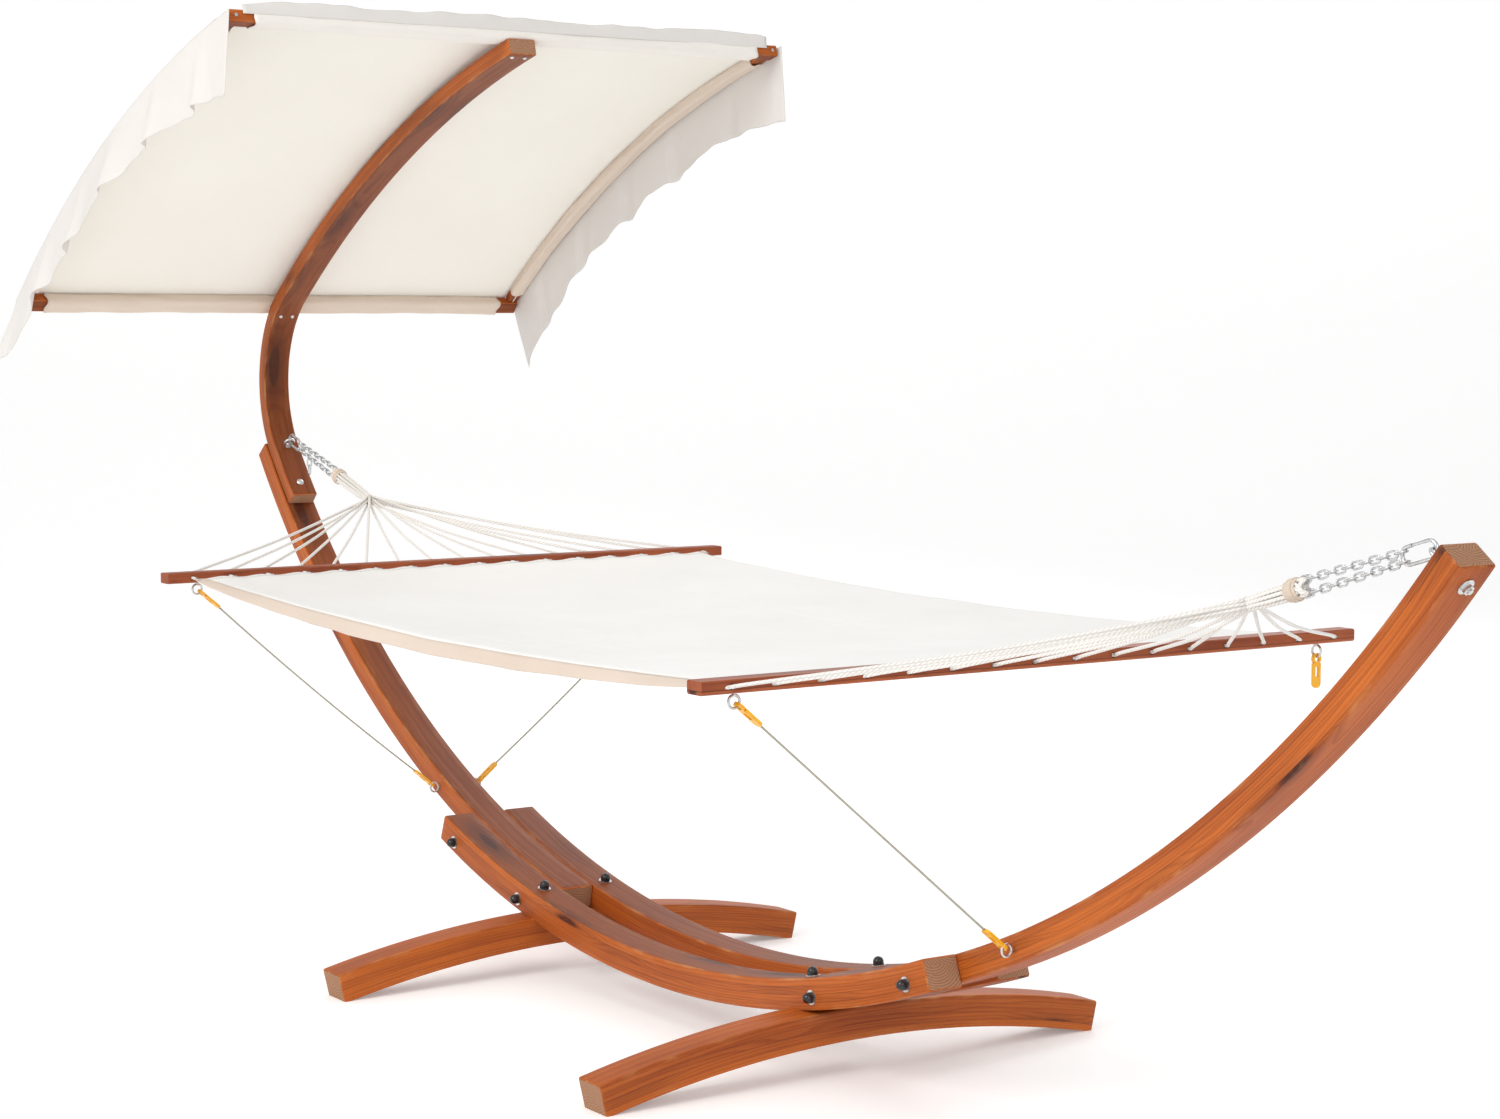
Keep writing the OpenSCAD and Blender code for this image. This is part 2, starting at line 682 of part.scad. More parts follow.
// side flap hanging from the batten sleeve
module valance(s) {
    a0 = pole_end - 0.1;
    a1 = low_bar_h;
    n = 16;
    r = batten_r + batten_t / 2;
    top = [for (i = [0:n]) let (h = a0 + (a1 - a0) * i / n) up_c + r * [-sin(h), cos(h)]];
    low = [for (i = [n:-1:0]) top[i] - [0, valance_drop]];
    translate([0, s * valance_y + (s < 0 ? 0 : cloth_t), 0]) rotate([90, 0, 0])
        linear_extrude(cloth_t) polygon(concat(top, low));
}

module valance_near() { color(canvas) valance(-1); }
module valance_far() { color(canvas) valance(1); }

// ---- suspension ----

// open loop of wire with its gap on the upper side, in the pull frame
module spring_hook(side) {
    pull_frame(side) translate([hook_c1, 0, 0]) difference() {
        union() {
            rotate([90, 0, 0]) rotate([0, 0, 180]) half_ring(hook_r, hook_wire);
            translate([hook_straight, 0, 0]) rotate([90, 0, 0]) half_ring(hook_r, hook_wire);
            translate([0, 0, -hook_r]) rotate([0, 90, 0])
                cylinder(d = hook_wire, h = hook_straight, $fn = 24);
            translate([0, 0, hook_r]) rotate([0, 90, 0])
                cylinder(d = hook_wire, h = gate_a0 - slide, $fn = 24);
            translate([gate_pin_s - 3.5, 0, hook_r]) rotate([0, 90, 0])
                cylinder(d = hook_wire, h = hook_straight - gate_pin_s + 3.5, $fn = 24);
        }
        // slot for the gate's tongue, and the pin's hole
        translate([gate_pin_s - 10, -1.7, hook_r - hook_wire]) cube([14, 3.4, 2 * hook_wire]);
        translate([gate_pin_s, 0, hook_r]) rotate([90, 0, 0])
            cylinder(d = pin_d, h = 20, center = true, $fn = 24);
    }
}

module gate(side) {
    pull_frame(side) translate([hook_c1, 0, hook_r]) difference() {
        union() {
            translate([gate_a0, 0, 0]) rotate([0, 90, 0])
                cylinder(d = gate_d, h = gate_pin_s - gate_a0 - 5, $fn = 24);
            intersection() {
                union() {
                    translate([gate_pin_s, 0, 0]) rotate([90, 0, 0])
                        cylinder(d = gate_d - 0.6, h = 3, center = true, $fn = 32);
                    translate([gate_pin_s - 6, -1.5, -gate_d / 2 + 0.3]) cube([6, 3, gate_d - 0.6]);
                }
                translate([gate_pin_s - 6, 0, 0]) rotate([0, 90, 0]) cylinder(d = gate_d, h = 12, $fn = 32);
            }
        }
        translate([gate_pin_s, 0, 0]) rotate([90, 0, 0])
            cylinder(d = pin_d + 0.1, h = 20, center = true, $fn = 24);
    }
}

module spring_hook_head() { color(steel) spring_hook(-1); }
module spring_hook_foot() { color(steel) spring_hook(1); }
module gate_head() { color(steel) gate(-1); }
module gate_foot() { color(steel) gate(1); }

module gate_pins() {
    color(steel) for (side = [-1, 1]) pull_frame(side)
        translate([hook_c1 + gate_pin_s, 0, hook_r]) rotate([90, 0, 0])
            cylinder(d = pin_d, h = hook_wire - 0.4, center = true, $fn = 24);
}

// chain link centred on the origin, long along X, lying in the XY plane
module link() {
    r = (link_w - link_wire) / 2;
    s = link_len - link_w;
    translate([s / 2, 0, 0]) half_ring(r, link_wire);
    translate([-s / 2, 0, 0]) rotate([0, 0, 180]) half_ring(r, link_wire);
    for (y = [-r, r]) translate([-s / 2, y, 0]) rotate([0, 90, 0]) cylinder(d = link_wire, h = s, $fn = 24);
}

module chain(side, n) {
    pull_frame(side) for (s = [-1, 1])
        translate([hook_c1 + link_catch, 0, s * strand_v]) rotate([0, -s * strand_turn, 0])
            for (i = [0:n - 1]) translate([i * pitch, 0, 0]) rotate([i % 2 * 90, 0, 0]) link();
}

module chain_head() { color(steel) chain(-1, head_links); }
module chain_foot() { color(steel) chain(1, foot_links); }

// two spare links hanging from the lower strand at the head end
module chain_tail() {
    tail_top = pull_point(-1, tail_u, tail_v);
    color(steel) translate([tail_top[0], 0, tail_top[1]])
        for (i = [0:1]) translate([0, 0, -(link_len / 2 - link_wire) + link_wire / 2 + slide - i * pitch])
            rotate([0, 90, 0]) rotate([(i + 1) % 2 * 90, 0, 0]) rotate([90, 0, 0]) link();
}

// ---- rope bundles and ropes ----

function bundle_start(n) = hook_c1 + link_catch + (n - 1) * pitch + bundle_past_link;
function fan_u(side) =
    (abs(pull_point(side, 0, 0)[0]) - abs(side < 0 ? head_fan_x : foot_fan_x)) / cos(pull_a);

module bundle(side, n) {
    u0 = bundle_start(n);
    u1 = fan_u(side);
    wide = whip_start + whip_len + 6;
    len = u1 - u0;
    pull_frame(side) translate([u0, 0, 0]) rotate([0, 90, 0]) rotate_extrude($fn = 48) polygon([
        [0, 0], [bundle_d1 / 2, 0], [bundle_d1 / 2, wide], [bundle_d2 / 2, len - flare_len],
        [flare_d / 2, len], [0, len]
    ]);
}

module rope_bundle_head() { color(rope_white) bundle(-1, head_links); }
module rope_bundle_foot() { color(rope_white) bundle(1, foot_links); }

module whipping(side, n) {
    pull_frame(side) translate([bundle_start(n) + whip_start, 0, 0]) rotate([0, 90, 0])
        difference() {
            cylinder(d = bundle_d1 + 2 * whip_t, h = whip_len, $fn = 48);
            translate([0, 0, -1]) cylinder(d = bundle_d1 + 0.4, h = whip_len + 2, $fn = 48);
        }
}

module whipping_head() { color(rope_white) whipping(-1, head_links); }
module whipping_foot() { color(rope_white) whipping(1, foot_links); }

// start of rope i on the bundle's end: four layers, so that no two ropes touch
function rope_start(side, i) =
    let (p = pull_point(side, fan_u(side) - 3, layer_gap * (i % 4 - 1.5)))
    [p[0], (i - (rope_n - 1) / 2) * layer_gap / 4, p[1]];

// ropes from the bundle through the bar's holes and on to the bed's hem
module fan_ropes(side) {
    z = bar_z(side);
    face = bar_x(side) + side * (bar_w / 2 + elbow_out);
    back = bar_x(side) - side * bar_w / 2;
    for (i = [0:rope_n - 1]) {
        y = rope_ys[i];
        rod(rope_start(side, i), [face, y, z], rope_d);
        translate([face, y, z]) sphere(d = elbow_d, $fn = 24);
        rod([face, y, z], [back, y, z], rope_d);
        translate([back, y, z]) sphere(d = elbow_d, $fn = 24);
        rod([back, y, z], [bed_end_x(side), y * bed_rope_k, z], rope_d);
    }
}

function bar_x(side) = side < 0 ? head_bar_x : foot_bar_x;
function bar_z(side) = side < 0 ? head_bar_z : foot_bar_z;
function bed_end_x(side) = bar_x(side) - side * (bar_w / 2 + bed_end_gap);

module fan_ropes_head() { color(rope_white) fan_ropes(-1); }
module fan_ropes_foot() { color(rope_white) fan_ropes(1); }

module spreader_bar(side) {
    difference() {
        translate([bar_x(side), 0, bar_z(side)]) bar_block(bar_w, bar_t, bar_len, edge);
        for (y = rope_ys) translate([bar_x(side), y, bar_z(side)]) rotate([0, 90, 0])
            cylinder(d = rope_hole_d, h = 2 * bar_w, center = true, $fn = 24);
        for (s = [-1, 1]) bar_eye_places(side, s) screw_eye_hole();
    }
}

module spreader_bar_head() { color(timber_dark) spreader_bar(-1); }
module spreader_bar_foot() { color(timber_dark) spreader_bar(1); }

module bed() {
    x0 = bed_end_x(-1);
    x1 = bed_end_x(1);
    z0 = bar_z(-1);
    z1 = bar_z(1);
    half = norm([x1 - x0, z1 - z0]) / 2;
    r = (half * half + bed_sag * bed_sag) / (2 * bed_sag);
    a = asin(half / r);
    color(canvas) translate([(x0 + x1) / 2, 0, (z0 + z1) / 2]) rotate([0, atan2(z0 - z1, x1 - x0), 0])
        translate([0, 0, r - bed_sag]) rotate([90, 0, 0]) rotate([0, 0, -90 - a])
            rotate_extrude(angle = 2 * a, $fn = 720)
                translate([r - bed_t / 2, -bed_w / 2]) square([bed_t, bed_w]);
}

// ---- tie-downs ----

// places children under a spreader bar, +Z down
module bar_eye_places(side, s) {
    translate([bar_x(side), s * tie_y, bar_z(side) - bar_t / 2]) rotate([180, 0, 0]) children();
}

module bar_eyes() {
    color(steel) {
        for (t = tie_ends) bar_eye_places(t[0], t[1]) screw_eye();
        bar_eye_places(spare_end[0], spare_end[1]) rotate([0, 0, 90]) screw_eye();
    }
}

// centre of the ring of a bar's screw eye and of an arm's screw eye
function bar_eye(side, s) = [
    bar_x(side), s * tie_y,
    bar_z(side) - bar_t / 2 - ring_neck - ring_eye_d / 2
];
function arm_eye(side, s) =
    let (r = rail_r + arm_d / 2, a = asin(arm_eye_x / r))
    [side * arm_eye_x, s * (arm_w / 2 + ring_neck + ring_eye_d / 2), rail_zc - r * cos(a)];

// plastic hook in the XZ plane, its ring at the origin and its cord end towards +X
module clip() {
    rotate([90, 0, 0]) difference() {
        linear_extrude(clip_t, center = true) difference() {
            union() {
                circle(d = clip_ring_d, $fn = 48);
                translate([clip_ring_d / 2 - 2, -clip_body_w / 2])
                    square([clip_len - (clip_ring_d + clip_body_w) / 2 + 2, clip_body_w]);
                translate([clip_len - clip_body_w / 2, 0]) circle(d = clip_body_w, $fn = 32);
            }
            circle(d = clip_hole_d, $fn = 32);
            translate([clip_ring_d / 2 + 5, -clip_slot_w / 2]) square([clip_slot_len, clip_slot_w]);
        }
        translate([clip_len + 1, 0, 0]) rotate([0, -90, 0])
            cylinder(d = cord_d + 0.6, h = cord_hole_len, $fn = 24);
    }
}

// clip hooked in the ring at p and pulled towards q; its ring hangs on the ring's wire
module clip_from(p, q) {
    v = (q - p) / norm(q - p);
    translate(p + v * clip_seat) rotate([0, 0, atan2(v[1], v[0])]) rotate([0, asin(-v[2]), 0])
        rotate([90, 0, 0]) clip();
}

// bar corners with a cord: end and side; the corner that is left out has the spare hook
tie_ends = [[-1, -1], [-1, 1], [1, -1]];
spare_end = [1, 1];

module upper_clips() {
    color(yellow) for (t = tie_ends) clip_from(bar_eye(t[0], t[1]), arm_eye(t[0], t[1]));
}

module lower_clips() {
    color(yellow) for (t = tie_ends) clip_from(arm_eye(t[0], t[1]), bar_eye(t[0], t[1]));
}

// hook with no cord, hanging square to the others in an eye that is turned to suit
module spare_clip() {
    p = bar_eye(spare_end[0], spare_end[1]);
    color(yellow) translate([p[0], p[1], p[2] - clip_seat]) rotate([0, 0, 90]) rotate([0, 90, 0]) clip();
}

// cord between the two clips of one tie-down, hanging by sag in the middle
module tie_cord(side, s, sag) {
    p = bar_eye(side, s);
    q = arm_eye(side, s);
    v = (q - p) / norm(q - p);
    inset = clip_seat + clip_len + 0.5;
    a = p + v * inset;
    b = q - v * inset;
    n = 22;
    pts = [for (i = [0:n]) let (k = i / n) a + (b - a) * k - [0, 0, 4 * sag * k * (1 - k)]];
    color(cord_grey) sweep(pts, cord_d);
}

// closed tube of 8 sides along the points
module sweep(pts, d) {
    n = len(pts);
    m = 8;
    rings = [for (i = [0:n - 1])
        let (t = pts[min(i + 1, n - 1)] - pts[max(i - 1, 0)])
        let (w = t / norm(t), e = cross(w, [1, 0, 0]), f = e / norm(e), g = cross(w, f))
        for (j = [0:m - 1]) pts[i] + d / 2 * (cos(j * 360 / m) * f + sin(j * 360 / m) * g)];
    faces = concat(
        [[for (j = [0:m - 1]) j]],
        [for (i = [0:n - 2], j = [0:m - 1])
            [i * m + j, (i + 1) * m + j, (i + 1) * m + (j + 1) % m, i * m + (j + 1) % m]],
        [[for (j = [m - 1:-1:0]) (n - 1) * m + j]]
    );
    polyhedron(points = rings, faces = faces);
}

module tie_cord_head_near() { tie_cord(-1, -1, tie_sag); }
module tie_cord_head_far() { tie_cord(-1, 1, tie_sag); }
module tie_cord_foot_near() { tie_cord(1, -1, 0); }

rail_front();
rail_rear();
arm_head();
arm_foot();
cross_foot_head();
cross_foot_foot();
side_bolts();
side_bolt_washers();
side_bolt_caps();
foot_bolts();
foot_bolt_washers();
foot_bolt_caps();
canopy_pole();
pole_bolt();
pole_bolt_nut();
canopy_bar_low();
canopy_bar_high();
batten_near();
batten_far();
pole_screws();
corner_screws();
shade_panel();
sleeve_low();
sleeve_high();
sleeve_near();
sleeve_far();
valance_near();
valance_far();
eye_bolts();
eye_bolt_washers();
eye_bolt_nuts();
arm_eyes();
spring_hook_head();
spring_hook_foot();
gate_head();
gate_foot();
gate_pins();
chain_head();
chain_foot();
chain_tail();
rope_bundle_head();
rope_bundle_foot();
whipping_head();
whipping_foot();
fan_ropes_head();
fan_ropes_foot();
spreader_bar_head();
spreader_bar_foot();
bed();
bar_eyes();
upper_clips();
lower_clips();
spare_clip();
tie_cord_head_near();
tie_cord_head_far();
tie_cord_foot_near();
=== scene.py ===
"""A hammock with spreader bars on a curved timber stand with a fabric sunshade.

Everything is in metres in the frame of the stand: X runs along the hammock with the
head end negative, Y runs across it, Z is up, and the ground is at zero.
"""

import json
import math
import random

import bmesh
import bpy
from mathutils import Matrix, Vector, noise


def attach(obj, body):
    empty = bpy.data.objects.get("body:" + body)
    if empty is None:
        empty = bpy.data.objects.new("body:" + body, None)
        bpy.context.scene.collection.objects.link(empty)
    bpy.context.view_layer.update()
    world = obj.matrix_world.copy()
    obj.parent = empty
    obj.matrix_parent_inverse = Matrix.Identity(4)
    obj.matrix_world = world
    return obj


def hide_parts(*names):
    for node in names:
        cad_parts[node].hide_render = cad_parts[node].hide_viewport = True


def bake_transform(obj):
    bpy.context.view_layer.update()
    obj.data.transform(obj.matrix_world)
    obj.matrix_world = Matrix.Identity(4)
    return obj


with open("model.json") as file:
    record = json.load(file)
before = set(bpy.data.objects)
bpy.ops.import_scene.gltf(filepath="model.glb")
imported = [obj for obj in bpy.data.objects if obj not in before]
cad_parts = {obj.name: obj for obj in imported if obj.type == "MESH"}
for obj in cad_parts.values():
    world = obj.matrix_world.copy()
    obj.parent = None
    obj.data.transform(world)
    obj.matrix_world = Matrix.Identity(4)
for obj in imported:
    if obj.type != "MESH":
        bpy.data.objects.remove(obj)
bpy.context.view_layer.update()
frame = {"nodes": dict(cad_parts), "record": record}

# ---------------------------------------------------------------- sizes

RAIL_RADIUS = 2.700
RAIL_TOP = 0.139
RAIL_CENTRE_Z = RAIL_TOP + RAIL_RADIUS
RAIL_HALF = 0.940
RAIL_DEPTH, RAIL_WIDTH = 0.064, 0.081
ARM_DEPTH, ARM_WIDTH = 0.055, 0.083
ARM_LOW_X, ARM_TOP_X = 0.520, 2.114
FOOT_X, FOOT_LENGTH, FOOT_RADIUS = 0.552, 1.200, 2.600
FOOT_DEPTH, FOOT_WIDTH, FOOT_FLAT = 0.067, 0.083, 0.018
POLE_DEPTH, POLE_WIDTH, POLE_LAP = 0.038, 0.072, 0.170
BEND_RADIUS, BEND_END = 0.310, 36.0
UPPER_RADIUS, POLE_END = 3.440, 12.7
LOW_BAR_SLOPE, HIGH_BAR_SLOPE = 48.8, 13.1
SHADE_LENGTH, SHADE_BAR_WIDTH, SHADE_BAR_DEPTH = 1.460, 0.038, 0.028
BATTEN_WIDTH, BATTEN_DEPTH, BATTEN_Y = 0.030, 0.022, 0.714
CLOTH_HALF = BATTEN_Y - BATTEN_WIDTH / 2 - 0.002
SLEEVE_HALF = BATTEN_Y - BATTEN_WIDTH / 2 - 0.030
SLEEVE_EASE, SHEET_LIFT = 0.007, 0.0085
CORNER = 0.055
BEAM_EDGE, POLE_EDGE, BAR_EDGE, BATTEN_EDGE = 0.0045, 0.0035, 0.003, 0.002
VALANCE_DROP = 0.165
FRONT_HEM, FRONT_HEM_FLAT, CLOTH_THICKNESS = 0.034, 0.036, 0.0012
HEAD_BAR = Vector((-1.093, 0, 0.900))
FOOT_BAR = Vector((1.145, 0, 0.885))
BAR_WIDTH, BAR_DEPTH = 0.045, 0.024
ROPE_COUNT, ROPE_GAP, ROPE_RADIUS = 16, 0.094, 0.0035
BED_WIDTH, BED_SAG, BED_THICKNESS, BED_GAP = 1.420, 0.043, 0.005, 0.012
BED_HEM_IN, BED_LENGTH = 0.005, 2.180
BED_HEM, BED_STITCH_LIFT = 0.026, 0.0019
FAN_X = {-1: -1.560, 1: 1.660}
PULL_SLOPE = 16.6
EYE_BELOW_TOP, EYE_RADIUS, EYE_STAND = 0.040, 0.012, 0.0185
CHAIN_LINKS, CHAIN_PITCH = 12, 0.0194
CHAIN_APART, CHAIN_SPLAY = 0.008, 1.0
HOOK_SEAT, HOOK_REACH, CHAIN_SLACK = 0.0071, 0.0594, 0.002
WHIPPING_START, WHIPPING_HALF = 0.012, 0.014
ROPE_LAY_SHARE = 0.98
TIE_Y, ARM_EYE_X = 0.685, 1.110
SCREW_EYE_STAND = 0.017
CLIP_SEAT, CLIP_LENGTH = 0.01465, 0.058
CORD_DIAMETER, CORD_CLEAR = 0.004, 0.0005

STAND, HAMMOCK = "stand", "hammock"


def degrees_of(x):
    return math.degrees(math.asin(x))


def on_circle(radius, angle):
    """Point of the rails' circle, angle in degrees from straight down towards +X."""
    a = math.radians(angle)
    return Vector((radius * math.sin(a), 0, RAIL_CENTRE_Z - radius * math.cos(a)))


def climbing(slope):
    """Unit vector along something that climbs at this slope towards +X."""
    a = math.radians(slope)
    return Vector((math.cos(a), 0, math.sin(a)))


def outward(slope):
    """Unit vector square to a pole that climbs at this slope, away from its centre."""
    a = math.radians(slope)
    return Vector((-math.sin(a), 0, math.cos(a)))


ARM_TOP_ANGLE = degrees_of(ARM_TOP_X / RAIL_RADIUS)
EYE_ANGLE = ARM_TOP_ANGLE - math.degrees(EYE_BELOW_TOP / RAIL_RADIUS)
LAP_ANGLE = EYE_ANGLE - math.degrees(POLE_LAP / RAIL_RADIUS)
BEND_CENTRE = on_circle(RAIL_RADIUS - BEND_RADIUS, -EYE_ANGLE)
UPPER_CENTRE = BEND_CENTRE + (BEND_RADIUS - UPPER_RADIUS) * outward(BEND_END)
LOW_BAR = BEND_CENTRE + (BEND_RADIUS + SHADE_BAR_DEPTH / 2) * outward(LOW_BAR_SLOPE)
HIGH_BAR = UPPER_CENTRE + (UPPER_RADIUS + SHADE_BAR_DEPTH / 2) * outward(HIGH_BAR_SLOPE)
BATTEN_RADIUS = UPPER_RADIUS + SHADE_BAR_DEPTH / 2
SHEET_RADIUS = BATTEN_RADIUS + SHEET_LIFT
LOW_SLOPE = math.degrees(math.atan2(UPPER_CENTRE.x - LOW_BAR.x, LOW_BAR.z - UPPER_CENTRE.z))
EYE_CENTRE = {
    -1: on_circle(RAIL_RADIUS - POLE_DEPTH - EYE_STAND, -EYE_ANGLE),
    1: on_circle(RAIL_RADIUS - EYE_STAND, EYE_ANGLE),
}
BAR = {-1: HEAD_BAR, 1: FOOT_BAR}


def pull_point(side, u, v=0.0, y=0.0):
    """Point u along one end's line of pull from its eye, and v above that line."""
    slope = math.radians(PULL_SLOPE)
    eye = math.radians(EYE_ANGLE)
    inward = Vector((-side * math.sin(eye), 0, math.cos(eye)))
    wire = EYE_CENTRE[side] + EYE_RADIUS * inward
    along = Vector((-side * math.cos(slope), 0, -math.sin(slope)))
    above = Vector((-side * math.sin(slope), 0, math.cos(slope)))
    return wire + u * along + v * above + Vector((0, y, 0))


def fan_u(side):
    """Distance along the line of pull to where the ropes fan out."""
    wire = pull_point(side, 0)
    return abs(wire.x - FAN_X[side]) / math.cos(math.radians(PULL_SLOPE))


# distances along the line of pull to the chain's end and to the middle of the whipping
BUNDLE_U = HOOK_SEAT + HOOK_REACH + (CHAIN_LINKS - 1) * CHAIN_PITCH + CHAIN_SLACK
WHIPPING_U = BUNDLE_U + WHIPPING_START + WHIPPING_HALF


# ---------------------------------------------------------------- camera

# degrees between the stand's length and the camera's line of sight, seen from above
VIEW_HEADING = 34.226


def make_camera():
    """A long lens at standing height, off the foot end's front corner."""
    heading, dip, roll = math.radians(VIEW_HEADING), math.radians(4.742), math.radians(0.13)
    level_reach = math.cos(dip)
    look = Vector((-math.cos(heading) * level_reach, math.sin(heading) * level_reach, -math.sin(dip)))
    level = look.cross(Vector((0, 0, 1))).normalized()
    lift = level.cross(look)
    right = level * math.cos(roll) + lift * math.sin(roll)
    up = lift * math.cos(roll) - level * math.sin(roll)
    data = bpy.data.cameras.new("camera")
    data.sensor_fit = "HORIZONTAL"
    data.sensor_width = 36.0
    data.lens = 69.16
    data.clip_end = 100.0
    camera = bpy.data.objects.new("camera", data)
    camera.matrix_world = Matrix((right, up, -look)).transposed().to_4x4()
    camera.location = (5.1457, -3.3744, 1.4965)
    bpy.context.scene.collection.objects.link(camera)
    bpy.context.scene.camera = camera


make_camera()

# ---------------------------------------------------------------- finishes


class Wire:
    """A node socket that takes part in ordinary arithmetic by adding Math nodes."""

    def __init__(self, finish, socket):
        self.finish = finish
        self.socket = socket

    def out(self, name):
        return Wire(self.finish, self.socket.node.outputs[name])

    def maths(self, operation, *values):
        inputs = {i: value for i, value in enumerate((self,) + values)}
        return self.finish.node("ShaderNodeMath", {"operation": operation}, inputs)

    def __add__(self, other):
        return self.maths("ADD", other)

    __radd__ = __add__

    def __mul__(self, other):
        return self.maths("MULTIPLY", other)

    __rmul__ = __mul__

    def __sub__(self, other):
        return self.maths("SUBTRACT", other)

    def __rsub__(self, other):
        return self.maths("MULTIPLY", -1.0).maths("ADD", other)

    def __truediv__(self, other):
        return self.maths("DIVIDE", other)

    def __pow__(self, other):
        return self.maths("POWER", other)

    def floor(self):
        return self.maths("FLOOR")

    def fraction(self):
        return self.maths("FRACT")

    def sine(self):
        return self.maths("SINE")

    def size(self):
        return self.maths("ABSOLUTE")

    def clamped(self):
        return self.maths("MAXIMUM", 0.0).maths("MINIMUM", 1.0)

    def ramp(self, low, high):
        """0 below low, 1 above high and smooth between them."""
        settings = {"interpolation_type": "SMOOTHSTEP"}
        return self.finish.node("ShaderNodeMapRange", settings, {0: self, 1: low, 2: high})


class Finish:
    """A material made of one Principled shader and whatever nodes its maker adds."""

    def __init__(self, name, **constants):
        self.material = bpy.data.materials.new(name)
        self.material.use_nodes = True
        self.tree = self.material.node_tree
        self.shader = self.tree.nodes["Principled BSDF"]
        for socket, value in constants.items():
            self.shader.inputs[socket.replace("_", " ")].default_value = value

    def node(self, kind, settings=None, inputs=None):
        """A node of this kind with its settings made first, then its sockets' values or links."""
        made = self.tree.nodes.new(kind)
        for key, value in (settings or {}).items():
            setattr(made, key, value)
        for key, value in (inputs or {}).items():
            if isinstance(value, Wire):
                self.tree.links.new(value.socket, made.inputs[key])
            else:
                made.inputs[key].default_value = value
        shown = [o for o in made.outputs if o.enabled]
        return Wire(self, shown[0])

    def drive(self, socket, wire):
        self.tree.links.new(wire.socket, self.shader.inputs[socket])

    def attribute(self, name):
        return self.node("ShaderNodeAttribute", {"attribute_name": name})

    def number(self, name):
        return self.attribute(name).out("Fac")

    def parts(self, vector):
        split = self.node("ShaderNodeSeparateXYZ", None, {0: vector})
        return split.out("X"), split.out("Y"), split.out("Z")

    def vector(self, x, y, z):
        return self.node("ShaderNodeCombineXYZ", None, {0: x, 1: y, 2: z})

    def here(self):
        return self.node("ShaderNodeTexCoord").out("Object")

    def noise(self, vector, scale, detail=3.0, rough=0.5):
        inputs = {"Vector": vector, "Scale": scale, "Detail": detail, "Roughness": rough}
        return self.node("ShaderNodeTexNoise", None, inputs)

    def mix(self, factor, low, high):
        """A colour between low and high, each a colour or a link."""
        inputs = {"Factor": factor, 6: low, 7: high}
        return self.node("ShaderNodeMix", {"data_type": "RGBA"}, inputs)

    def bump(self, height, strength, distance):
        inputs = {"Height": height, "Strength": strength, "Distance": distance}
        self.drive("Normal", self.node("ShaderNodeBump", None, inputs))


def tone(red, green, blue):
    """A colour given as screen values from 0 to 255, as the linear colour a shader takes."""
    linear = []
    for value in (red, green, blue):
        v = value / 255
        linear.append(v / 12.92 if v <= 0.04045 else ((v + 0.055) / 1.055) ** 2.4)
    return (*linear, 1.0)


